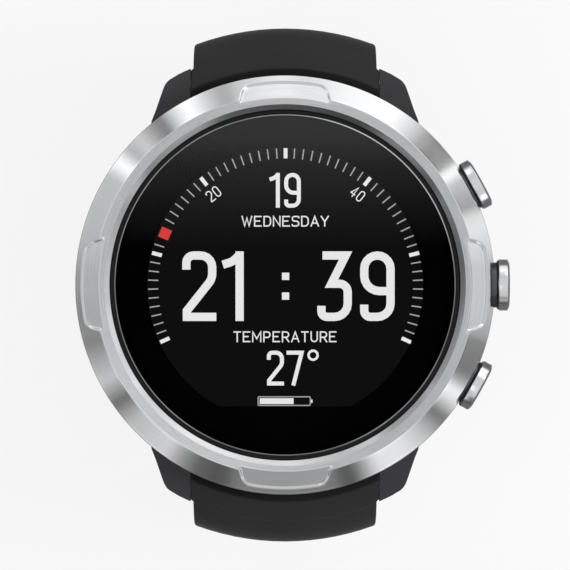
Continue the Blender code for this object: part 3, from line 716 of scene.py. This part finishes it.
def rectangle(x, y, half_x, half_y, turn=0.0):
    c, s = math.cos(turn), math.sin(turn)
    corners = ((-half_x, -half_y), (half_x, -half_y), (half_x, half_y), (-half_x, half_y))
    return [(x + u * c - v * s, y + u * s + v * c) for u, v in corners]


def dial_point(radius, clockwise_deg):
    turn = math.radians(90.0 - clockwise_deg)
    return DIAL_CENTRE[0] + radius * math.cos(turn), DIAL_CENTRE[1] + radius * math.sin(turn)


def display_base(low):
    """The display's dark disc and the area on it with a faint painted glow, cut flat at 6 o'clock."""
    disc = [(0, low - 0.6), (DISC_R, low - 0.6), (DISC_R, low), (0, low)]
    turned("display_mask_disc", disc, [MASK], "case", 120, None, ("display_panel",))
    start = math.acos(-ACTIVE_FLAT_Y / ACTIVE_R)
    outline = []
    for i in range(81):
        turn = -math.pi / 2 + start + (2 * math.pi - 2 * start) * i / 80
        outline.append((ACTIVE_R * math.cos(turn), ACTIVE_R * math.sin(turn)))
    flat_shapes("display_active_area", [outline], ACTIVE, low + 0.01, low + 0.03)


def dial_ticks(low, high):
    """The ring of ticks, every tenth of them bold, with a gap for the marker."""
    middle_r = (TICK_INNER_R + TICK_OUTER_R) / 2
    half_length = (TICK_OUTER_R - TICK_INNER_R) / 2
    bold, fine = [], []
    for i in range(TICK_COUNT):
        angle = (i - TICK_COUNT // 2) * TICK_STEP
        if abs(angle - MARKER_ANGLE) < TICK_STEP:
            continue
        ticks, half = (bold, BOLD_TICK_HALF) if i % 10 == 0 else (fine, FINE_TICK_HALF)
        x, y = dial_point(middle_r, angle)
        ticks.append(rectangle(x, y, half, half_length, -math.radians(angle)))
    flat_shapes("display_fine_ticks", fine, GREY, low, high)
    flat_shapes("display_bold_ticks", bold, WHITE, low, high)


def text_and_numbers(low, high):
    labels = []
    for text, ticks in DIAL_LABELS:
        angle = ticks * TICK_STEP
        place = dial_point(DIAL_LABEL_R, angle)
        labels += write(text, place, *DIAL_LABEL_SIZES, -math.radians(angle))
    for line in WORDS:
        labels += write(*line)
    flat_shapes("display_words", labels, WHITE, low, high)
    digits = []
    for line in NUMBERS:
        digits += write(*line)
    x, y = DEGREE_CENTRE
    turns = [2 * math.pi * i / 24 for i in range(24)]
    ring = [(x + DEGREE_R * math.cos(a), y + DEGREE_R * math.sin(a)) for a in turns]
    digits.append(ribbon(ring, DEGREE_STROKE, True))
    digits += [rectangle(COLON_X, y, COLON_HALF, COLON_HALF) for y in COLON_YS]
    flat_shapes("display_digits", digits, WHITE, low, high)


def battery_symbol(low, high):
    left, right, foot, top = BATTERY_CASE
    case = rounded([(left, foot), (right, foot), (right, top), (left, top)], 0.15, True)
    case = ribbon(case, BATTERY_STROKE, True)
    flat_shapes("display_battery_case", [case], GREY, low, high)
    filled = [rectangle(*shape) for shape in BATTERY_FILLED]
    flat_shapes("display_battery", filled, WHITE, low, high)


def display():
    base = DISPLAY_Z + 0.02
    low, high = base + 0.05, base + 0.08
    display_base(base)
    dial_ticks(low, high)
    text_and_numbers(low, high)
    battery_symbol(low, high)
    x, y = dial_point(MARKER_R, MARKER_ANGLE)
    marker = rectangle(x, y, MARKER_HALF, MARKER_HALF, math.radians(-MARKER_ANGLE))
    flat_shapes("display_marker", [marker], RED, low, high)
    inner, outer = ACTIVE_R + 0.25, CRYSTAL_R - 0.15
    low, high = CRYSTAL_FOOT - 0.15, CRYSTAL_FOOT - 0.1
    border = [(inner, high), (outer, high), (outer, low), (inner, low)]
    turned("display_border", border, [MASK], "case", 180)


# ---- Buttons ----


def button_place(key):
    """The frame of a button: Z runs outward along its axis, from the foot near the dial axis."""
    angle, offset, *_ = BUTTONS[key]
    turn = math.radians(angle)
    out = Vector((math.cos(turn), math.sin(turn), 0.0))
    side = Vector((-out.y, out.x, 0.0))
    foot = side * offset + Vector((0.0, 0.0, BUTTON_Z))
    return Matrix.Translation(foot) @ Matrix((side, (0, 0, 1), out)).transposed().to_4x4()


def buttons():
    """Steel caps on collars and stems drawn in dark steel, a painted shade for the shadow in the
    bezel's notches.
    """
    for key, (_, _, reach, _) in BUTTONS.items():
        inner = reach - CAP_T
        outline = [
            (0.0, STEM_FOOT),
            (STEM_R, STEM_FOOT),
            (STEM_R, inner - COLLAR_LENGTH),
            (COLLAR_R, inner - COLLAR_LENGTH),
            (COLLAR_R, inner - 0.16),
            (CAP_R - 0.18, inner - 0.1),
            (CAP_R, inner + 0.12),
            (CAP_R, reach - 0.3),
            (CAP_R - 0.34, reach - 0.07),
            (CAP_R - 0.5, reach - 0.07),
            (CAP_R - 0.58, reach - 0.04),
            (0.0, reach),
        ]
        profile = [(p.x, p.y) for p in rounded(outline, 0.09, steps=3)]
        # Painted shade: collar and stem take dark steel for the shadow under the bezel's notch.
        bands = [1 if b[1] < inner else 0 for a, b in zip(profile, profile[1:])]
        name = "button_" + key
        turned(name + "_pusher", profile, [TURNED, DARK_STEEL], name, 72, button_place(key), (name,),
               bands=bands)


# ---- Strap ----


def walk(legs):
    """Stations (y, z, heading, distance) of the band's middle line, for the +Y half."""
    y, z = CENTRE_START
    heading, distance = START_HEADING, 0.0
    stations = [(y, z, heading, distance)]
    for length, turn, steps in legs:
        for _ in range(steps):
            middle = math.radians(heading + turn / steps / 2)
            y += length / steps * math.cos(middle)
            z += length / steps * math.sin(middle)
            heading += turn / steps
            distance += length / steps
            stations.append((y, z, heading, distance))
    return stations


def thickness(distance):
    if distance < FIRST_BEND:
        return END_THICKNESS - (END_THICKNESS - BEND_THICKNESS) * distance / FIRST_BEND
    return max(TIP_THICKNESS, BEND_THICKNESS - THINNING * (distance - FIRST_BEND))


def crown(distance):
    """How far the cross-section keeps the roundness of the dial."""
    return min(1.0, max(0.0, (CROWN_END - distance) / CROWN_FADE))


def band_half(distance, total, is_tail):
    """Half the band's width, narrowing to the end and rounded off at the tip."""
    half = BAND_HALF - NARROWING * min(1.0, distance / NARROWING_LENGTH)
    if is_tail and distance > total - TIP_LENGTH:
        u = (distance - total + TIP_LENGTH) / TIP_LENGTH
        half *= 0.5 + 0.5 * math.sqrt(max(0.0, 1 - u * u))
    return half


def outward(heading):
    """The direction from the middle line to the band's outer face, in the plane of Y and Z."""
    turn = math.radians(heading + 90.0)
    return math.cos(turn), math.sin(turn)


def strap_loop(legs, is_tail):
    """The strap half's side outline as (y, z, crown weight, crown direction, half width)."""
    flat = (1.0, 0.0)
    by, bz = SPRING_BAR
    top = [(by - 0.2, bz + HUB_R), (26.5, 7.12), (END_TOP_Y, END_TOP_Z)]
    for y in (LUG_END - 0.05, LUG_END + 0.05):
        top.append((y, END_TOP_Z - END_TOP_SLOPE * (y - END_TOP_Y)))
    top += [(30.12, 6.02), (30.22, 5.42)]
    loop = []
    for p in rounded(top, 0.32, steps=4):
        half = END_HALF if p.x < LUG_END else BAND_HALF
        loop.append((p.x, p.y, 0.55 if p.x < 25.4 else 1.0, flat, half))
    stations = walk(legs)
    total = stations[-1][3]
    outer, inner = [], []
    for y, z, heading, distance in stations[3:]:
        ny, nz = outward(heading)
        half = band_half(distance, total, is_tail)
        way = flat if heading > -90.0 else (ny, nz)
        reach = thickness(distance) / 2
        outer.append((y + ny * reach, z + nz * reach, crown(distance), way, half))
        inner.append((y - ny * reach, z - nz * reach, crown(distance) * 0.8, way, half))
    y, z, heading, distance = stations[-1]
    radius = thickness(distance) / 2 if is_tail else LOOP_R
    if not is_tail:
        outer, inner = outer[:-1], inner[:-1]
    loop += outer
    for i in range(11):
        turn = math.radians(heading + 75 - 15 * i)
        point = (y + radius * math.cos(turn), z + radius * math.sin(turn))
        loop.append((*point, 0.0, flat, outer[-1][4]))
    loop += inner[::-1]
    for i in range(15):
        turn = math.radians(-78 - 12.5 * i)
        loop.append((by + HUB_R * math.cos(turn), bz + HUB_R * math.sin(turn), 0.0, flat, END_HALF))
    return loop


def loop_normals(points):
    n = len(points)
    area = sum(
        points[i].x * points[(i + 1) % n].y - points[(i + 1) % n].x * points[i].y for i in range(n)
    )
    sign = 1.0 if area > 0 else -1.0
    normals = []
    for i in range(n):
        way = (points[i] - points[i - 1]).normalized() + (points[(i + 1) % n] - points[i]).normalized()
        way.normalize()
        normals.append(Vector((sign * way.y, -sign * way.x)))
    return normals


def width_stations(half):
    """Places across the band as (x, how far the outline is drawn in there)."""
    edge = []
    for i in range(6):
        turn = math.radians(18 * i)
        edge.append((half - EDGE_ROUND * (1 - math.cos(turn)), EDGE_ROUND * (1 - math.sin(turn))))
    span = half - EDGE_ROUND
    inside = [(span * (1 - 2 * i / 14), 0.0) for i in range(1, 14)]
    return edge + inside + [(-x, d) for x, d in reversed(edge)]


def strap_half(name, legs, side, is_tail, body, node_name):
    """A strap half: its side outline carried across the band, side by side."""
    loop = strap_loop(legs, is_tail)
    normals = loop_normals([Vector(p[:2]) for p in loop])
    n = len(loop)
    columns = len(width_stations(1.0))
    verts = []
    for k in range(columns):
        for (y, z, weight, way, half), normal in zip(loop, normals):
            x, inset = width_stations(half)[k]
            radius = max(y, CROWN_LEAST_R) if way == (1.0, 0.0) else CROWN_R
            drop = weight * (radius - math.sqrt(radius * radius - x * x))
            y_at = y - normal.x * inset - way[0] * drop
            z_at = z - normal.y * inset - way[1] * drop
            verts.append((x, side * y_at, z_at))
    faces = []
    for k in range(columns - 1):
        for i in range(n):
            j = (i + 1) % n
            faces.append([k * n + i, k * n + j, (k + 1) * n + j, (k + 1) * n + i])
    faces += [list(range(n)), [(columns - 1) * n + i for i in range(n)]]
    return make(name, verts, faces, [RUBBER], body, (node_name,))


def cutter(name, verts, faces, place):
    """A closed mesh to cut with, from points in mm."""
    mesh = bpy.data.meshes.new(name)
    mesh.from_pydata([Vector(v) * MM for v in verts], [], faces)
    bm = bmesh.new()
    bm.from_mesh(mesh)
    bmesh.ops.recalc_face_normals(bm, faces=bm.faces)
    bm.to_mesh(mesh)
    bm.free()
    mesh.transform(Matrix.Translation(place.translation * MM) @ place.to_3x3().to_4x4())
    return mesh


def cut_away(obj, meshes, name):
    """Cuts closed shapes out of a piece and keeps the result as its mesh."""
    bm = bmesh.new()
    for mesh in meshes:
        bm.from_mesh(mesh)
    joined = bpy.data.meshes.new(name)
    bm.to_mesh(joined)
    bm.free()
    tool = bpy.data.objects.new(name, joined)
    bpy.context.scene.collection.objects.link(tool)
    step = obj.modifiers.new("cut", "BOOLEAN")
    step.operation = "DIFFERENCE"
    step.solver = "EXACT"
    step.object = tool
    graph = bpy.context.evaluated_depsgraph_get()
    result = bpy.data.meshes.new_from_object(obj.evaluated_get(graph), depsgraph=graph)
    obj.modifiers.clear()
    obj.data = result
    bpy.data.objects.remove(tool)
    result.shade_smooth()
    result.set_sharp_from_angle(angle=math.radians(SHARP_ANGLE))


def slot_outline(half_x, half_y, steps=6):
    """A slot with round ends, longer in Y."""
    points = []
    for i in range(2 * steps + 2):
        end = 1 if i <= steps else -1
        turn = math.pi * (i if i <= steps else i - 1) / steps
        points.append((half_x * math.cos(turn), end * (half_y - half_x) + half_x * math.sin(turn)))
    return points


def rod_cutter(radius, centre):
    """A round bar across the whole band."""
    turns = [2 * math.pi * i / 32 for i in range(32)]
    outline = [(radius * math.cos(a), radius * math.sin(a)) for a in turns]
    place = Matrix.Translation(centre) @ Matrix.Rotation(math.pi / 2, 4, "Y")
    return cutter("rod", *prism(outline, -BORE_HALF, BORE_HALF), place)


def at_distance(stations, distance):
    """The station at a distance along a walk."""
    for a, b in zip(stations, stations[1:]):
        if a[3] <= distance <= b[3]:
            t = (distance - a[3]) / (b[3] - a[3])
            return tuple(p + (q - p) * t for p, q in zip(a, b))
    return stations[-1]


def hub_cutters(side):
    """The spring bar's bore and the slot that its release knob moves in."""
    by, bz = SPRING_BAR
    slot = [(RELEASE_SLOT_X + y, side * by + x) for x, y in slot_outline(0.95, 1.7)]
    bore = rod_cutter(SPRING_BAR_BORE_R, (0, side * by, bz))
    return [bore, cutter("slot", *prism(slot, bz - CUT_REACH, bz), Matrix.Identity(4))]


def straps():
    tail = strap_half("strap_tail", TAIL_LEGS, -1, True, "tail_strap", "strap_tail_half")
    stations = walk(TAIL_LEGS)
    total = stations[-1][3]
    tools = hub_cutters(-1)
    for i in range(HOLE_COUNT):
        y, z, heading, _ = at_distance(stations, total - FIRST_HOLE - i * HOLE_PITCH)
        ny, nz = outward(heading)
        turn = Matrix(((1, 0, 0), (0, -nz, -ny), (0, -ny, nz))).to_4x4()
        place = Matrix.Translation((0, -y, z)) @ turn
        hole = prism(slot_outline(1.1, 1.6), -CUT_REACH, CUT_REACH)
        tools.append(cutter("hole", *hole, place))
    cut_away(tail, tools, "tail_cutters")
    buckle = strap_half("strap_buckle", BUCKLE_LEGS, 1, False, "buckle_strap", "strap_buckle_half")
    y, z, _, _ = walk(BUCKLE_LEGS)[-1]
    tools = hub_cutters(1) + [rod_cutter(BUCKLE_BAR_BORE_R, (0, y, z))]
    cut_away(buckle, tools, "buckle_cutters")
    half, before, after = TONGUE_NOTCH
    low, high = y - before, y + after
    corners = [(-half, low), (half, low), (half, high), (-half, high)]
    notch = [(p.x, p.y) for p in rounded(corners, 0.5, True)]
    notch = prism(notch, z - CUT_REACH, z + CUT_REACH)
    cut_away(buckle, [cutter("notch", *notch, Matrix.Identity(4))], "notch_cutter")


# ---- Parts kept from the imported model: finish, and how far the edges are rounded ----


KEPT = {
    "mid_case": (POLYMER, 0.22),
    "crystal_gasket": (SEAL, 0.05),
    "display_frame": (POLYMER, 0.1),
    "case_back": (DARK_STEEL, 0.08),
    "case_back_gasket": (SEAL, 0.08),
    "circuit_board": (BOARD, 0.05),
    "battery": (FOIL, 0.2),
    "vibration_motor": (TURNED, 0.2),
    "buzzer": (GOLD, 0.15),
    "pressure_sensor": (DARK_STEEL, 0.15),
    "buckle_frame": (BUCKLE_STEEL, 0.0),
    "buckle_bar": (TURNED, 0.08),
    "buckle_tongue": (BUCKLE_STEEL, 0.18),
    "keeper_fixed": (RUBBER, 0.3),
    "keeper_sliding": (RUBBER, 0.3),
}
KEPT_BY_PREFIX = {
    "case_screw_": (TURNED, 0.06),
    "charging_contact_": (GOLD, 0.06),
    "button_bushing_": (DARK_STEEL, 0.05),
    "button_switch_": (SEAL, 0.1),
    "spring_bar_": (TURNED, 0.05),
    "bar_release_": (TURNED, 0.08),
}


def dress_kept_nodes():
    """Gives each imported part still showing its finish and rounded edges."""
    for name, obj in NODES.items():
        if obj.hide_render:
            continue
        choice = KEPT.get(name)
        for prefix, value in KEPT_BY_PREFIX.items():
            if name.startswith(prefix):
                choice = value
        mat, width = choice
        obj.data.materials.clear()
        obj.data.materials.append(mat)
        obj.data.shade_smooth()
        obj.data.set_sharp_from_angle(angle=math.radians(30))
        if width:
            soften(obj, width)


# ---- Studio ----


# Soft boxes and gaps round the horizon as (degrees, brightness). Far lists run from 3 o'clock
# over 12 to 9 o'clock, near lists from 3 o'clock over 6 to 9 o'clock
FAR_LIGHT = (
    (0, 0.22), (5, 0.12), (9, 0.75), (16, 1.15), (20, 1.02), (23, 0.2), (31, 0.6),
    (34, 1.7), (37, 0.1), (43, 0.01), (46.5, 0.22), (52, 0.95), (58, 1.6), (68, 1.45),
    (76, 1.3), (84, 0.75), (91, 1.2), (104, 0.5), (109, 0.5), (113, 0.95), (119, 1.9),
    (124, 0.92), (127, 0.12), (130, 0.4), (135, 1.05), (139, 0.65), (143.5, 2.0), (148, 0.85),
    (168, 0.82), (174, 0.5), (180, 0.35),
)
NEAR_LIGHT = (
    (0, 0.22), (8, 0.33), (10, 0.2), (26, 0.12), (29, 0.6), (32, 1.7), (36, 1.0),
    (40, 0.1), (46, 0.8), (54, 1.4), (62, 1.45), (66, 0.7), (70, 0.08), (76, 0.12),
    (88, 0.22), (100, 0.2), (110, 0.1), (116, 0.18), (121, 0.55), (126, 1.2), (138, 0.9),
    (145, 0.2), (152, 1.0), (164, 0.32), (172, 0.13), (180, 0.35),
)
RING_PEAK = 2.0
# The same, for the band at the horizon and for the strips above 12, 3, 6 and 9 o'clock
LOW_LIGHT = ((0, 0.87), (45, 1.15), (90, 1.0), (135, 0.36), (180, 0.17))
LOW_NEAR_LIGHT = ((0, 0.87), (45, 0.24), (90, 0.06), (135, 0.06), (180, 0.17))
STRIP_LIGHT = ((0, 0.93), (90, 1.2), (180, 0.62))
STRIP_NEAR_LIGHT = ((0, 0.93), (90, 0.48), (180, 0.66))
BELOW_COLOUR = (0.15, 0.15, 0.155, 1.0)
UPPER_COLOUR = (0.64, 0.645, 0.65, 1.0)
EDGE_BAND_COLOUR = (2.4, 2.4, 2.4, 1.0)
CEILING_COLOUR = (0.7, 0.705, 0.715, 1.0)
CEILING_NEAR_LEFT_COLOUR = (1.15, 1.16, 1.18, 1.0)
# Enlarges the small angles that the glass reflects upward
NEAR_AXIS_ZOOM = 30.0
FLOOR_R = 2.4
FLOOR_DROP = 0.0002
FLOOR_GLOW = 0.81
BACKDROP_R = 2.2
BACKDROP_GLOW = 0.92
CAMERA_HEIGHT = 0.915
FRAME_HALF_MM = 35.93
SENSOR_WIDTH = 36.0


def round_light(tree, turn, far_side, far, near):
    """Brightness by direction, from one list for each side of the line from 3 to 9 o'clock."""
    sides = []
    for light in (near, far):
        stops = [(angle / 180.0, value / RING_PEAK) for angle, value in light]
        sides.append(ramp(tree, turn, stops))
    mixed = node(tree, "ShaderNodeMix", data_type="RGBA", in_0=far_side, in_6=sides[0], in_7=sides[1])
    scale = node(tree, "ShaderNodeVectorMath", operation="SCALE", in_0=mixed.outputs[2])
    scale.inputs["Scale"].default_value = RING_PEAK
    return scale.outputs[0]


def blend(tree, factor, first, second):
    """The first colour where the factor is 0, the second where it is 1."""
    return node(
        tree, "ShaderNodeMix", data_type="RGBA", in_0=factor, in_6=first, in_7=second
    ).outputs[2]


def wall_light(tree, rise, turn, far_side):
    """Light from the sides: the band at the horizon, the soft boxes and the strips above."""
    ring = round_light(tree, turn, far_side, FAR_LIGHT, NEAR_LIGHT)
    low = round_light(tree, turn, far_side, LOW_LIGHT, LOW_NEAR_LIGHT)
    strips = round_light(tree, turn, far_side, STRIP_LIGHT, STRIP_NEAR_LIGHT)
    across = math_node(tree, "ABSOLUTE", math_node(tree, "SUBTRACT", turn, 0.5))
    near_axis = ramp(tree, across, ((0.0, 1.0), (0.08, 1.0), (0.09, 0.0), (0.41, 0.0), (0.42, 1.0)))
    above = ramp(tree, rise, ((0.205, 0.0), (0.225, 1.0), (0.42, 1.0), (0.45, 0.0)))
    strip_share = math_node(tree, "MULTIPLY", near_axis, above)
    walls = blend(tree, ramp(tree, rise, ((0.09, 0.0), (0.12, 1.0))), low, ring)
    walls = blend(tree, strip_share, walls, strips)
    below = ramp(tree, math_node(tree, "MULTIPLY", rise, -1.0), ((0.06, 0.0), (0.14, 1.0)))
    return blend(tree, below, walls, BELOW_COLOUR)


def upper_light(tree, walls, rise, turn, far_side, off_axis):
    """The walls, with a paler zone over them, a bright far right band and the ceiling."""
    zone = ramp(tree, rise, ((0.5, 0.0), (0.62, 1.0)))
    upper = blend(tree, zone, walls, UPPER_COLOUR)
    right_high = ramp(tree, turn, ((0.1, 0.0), (0.13, 1.0), (0.42, 1.0), (0.45, 0.0)))
    edge_band = ramp(tree, rise, ((0.54, 0.0), (0.57, 1.0), (0.66, 1.0), (0.69, 0.0)))
    far_right = math_node(tree, "MULTIPLY", right_high, far_side)
    edge_share = math_node(tree, "MULTIPLY", far_right, edge_band)
    upper = blend(tree, edge_share, upper, EDGE_BAND_COLOUR)
    left_low = ramp(tree, turn, ((0.56, 0.0), (0.6, 1.0), (0.86, 1.0), (0.9, 0.0)))
    near_left = math_node(tree, "MULTIPLY", left_low, math_node(tree, "SUBTRACT", 1.0, far_side))
    ceiling = blend(tree, near_left, CEILING_COLOUR, CEILING_NEAR_LEFT_COLOUR)
    return blend(tree, ramp(tree, off_axis, ((0.42, 1.0), (0.5, 0.0))), upper, ceiling)


def lens_gap(tree, upper, toward_12, off_axis):
    """The dark gap straight above, with a faint glow on its side towards 12 o'clock."""
    place = math_node(tree, "MULTIPLY", toward_12, NEAR_AXIS_ZOOM)
    glow = ramp(tree, place, ((0.165, 0.0), (0.333, 0.08), (0.5, 0.2), (0.63, 0.42)))
    spread = math_node(tree, "MULTIPLY", off_axis, NEAR_AXIS_ZOOM)
    gap = ramp(tree, spread, ((0.73, 1.0), (0.755, 0.0)))
    return blend(tree, gap, upper, glow)


def studio_world():
    """Light from all round: soft boxes at the horizon, a pale ceiling, a gap for the lens."""
    world = bpy.data.worlds.new("studio")
    world.use_nodes = True
    tree = world.node_tree
    tree.nodes.clear()
    way = node(tree, "ShaderNodeTexCoord").outputs["Generated"]
    x, y, rise = node(tree, "ShaderNodeSeparateXYZ", in_0=way).outputs
    away = node(tree, "ShaderNodeCombineXYZ", in_0=x, in_1=y).outputs[0]
    off_axis = node(tree, "ShaderNodeVectorMath", operation="LENGTH", in_0=away).outputs["Value"]
    cosine = math_node(tree, "DIVIDE", x, off_axis)
    turn = math_node(tree, "DIVIDE", math_node(tree, "ARCCOSINE", cosine), math.pi)
    far_side = math_node(tree, "GREATER_THAN", y, 0.0)
    walls = wall_light(tree, rise, turn, far_side)
    upper = upper_light(tree, walls, rise, turn, far_side, off_axis)
    whole = lens_gap(tree, upper, y, off_axis)
    background = node(tree, "ShaderNodeBackground", in_0=whole, in_1=1.0)
    output = node(tree, "ShaderNodeOutputWorld")
    tree.links.new(background.outputs[0], output.inputs[0])
    bpy.context.scene.world = world


def stage_piece(name, bm, mat):
    """An object of the studio, from a bmesh in metres that it uses up."""
    mesh = bpy.data.meshes.new(name)
    bm.to_mesh(mesh)
    bm.free()
    mesh.materials.append(mat)
    obj = bpy.data.objects.new(name, mesh)
    bpy.context.scene.collection.objects.link(obj)
    obj.visible_glossy = False
    return obj


def self_lit(name, colour, roughness, glow):
    """A material that gives its own white light."""
    mat, tree, shader = new_material(name, colour, 0.0, roughness)
    shader.inputs["Emission Color"].default_value = (1.0, 1.0, 1.0, 1.0)
    shader.inputs["Emission Strength"].default_value = glow
    return mat, tree, shader


def floor_and_backdrop():
    mat, tree, shader = self_lit("pale_floor", (0.15, 0.15, 0.15), 0.9, FLOOR_GLOW)
    place = node(tree, "ShaderNodeTexCoord").outputs["Object"]
    slow = node(tree, "ShaderNodeTexNoise", in_0=place, in_2=3.0).outputs[0]
    tone = ramp(tree, slow, ((0.3, 0.148), (0.7, 0.152)))
    tree.links.new(tone, shader.inputs["Base Color"])
    shader.inputs["Specular IOR Level"].default_value = 0.1
    bm = bmesh.new()
    bmesh.ops.create_circle(bm, cap_ends=True, segments=64, radius=FLOOR_R)
    floor = stage_piece("floor", bm, mat)
    floor.location.z = CAD_BOX[0].z - FLOOR_DROP
    mat, _, _ = self_lit("backdrop", (0.0, 0.0, 0.0), 1.0, BACKDROP_GLOW)
    bm = bmesh.new()
    bmesh.ops.create_uvsphere(bm, u_segments=48, v_segments=24, radius=BACKDROP_R)
    backdrop = stage_piece("backdrop", bm, mat)
    for flag in ("visible_diffuse", "visible_shadow", "visible_transmission"):
        setattr(backdrop, flag, False)


def area_light(name, place, size, power):
    """A round light that faces the origin and shows in no reflection."""
    data = bpy.data.lights.new(name, "AREA")
    data.shape = "DISK"
    data.size = size
    data.energy = power
    light = bpy.data.objects.new(name, data)
    light.location = place
    light.rotation_mode = "QUATERNION"
    light.rotation_quaternion = (-Vector(place)).to_track_quat("-Z", "Y")
    light.visible_camera = False
    light.visible_glossy = False
    bpy.context.scene.collection.objects.link(light)


def camera():
    """Straight above the dial, framing FRAME_HALF_MM each way at the bezel's top."""
    data = bpy.data.cameras.new("camera")
    data.sensor_width = SENSOR_WIDTH
    distance = CAMERA_HEIGHT - BEZEL_TOP * MM
    data.lens = SENSOR_WIDTH / 2 * distance / (FRAME_HALF_MM * MM)
    data.clip_start = 0.01
    cam = bpy.data.objects.new("camera", data)
    cam.location = (0.0, 0.0, CAMERA_HEIGHT)
    bpy.context.scene.collection.objects.link(cam)
    bpy.context.scene.camera = cam


def studio():
    studio_world()
    floor_and_backdrop()
    area_light("key_from_above", (0.6, 0.0, 1.0), 0.3, 4.0)
    area_light("near_fill", (-0.1, -0.9, 0.12), 0.3, 2.5)
    camera()
    bpy.context.scene.view_settings.view_transform = "Standard"


bezel()
crystal()
display()
buttons()
straps()
dress_kept_nodes()
studio()
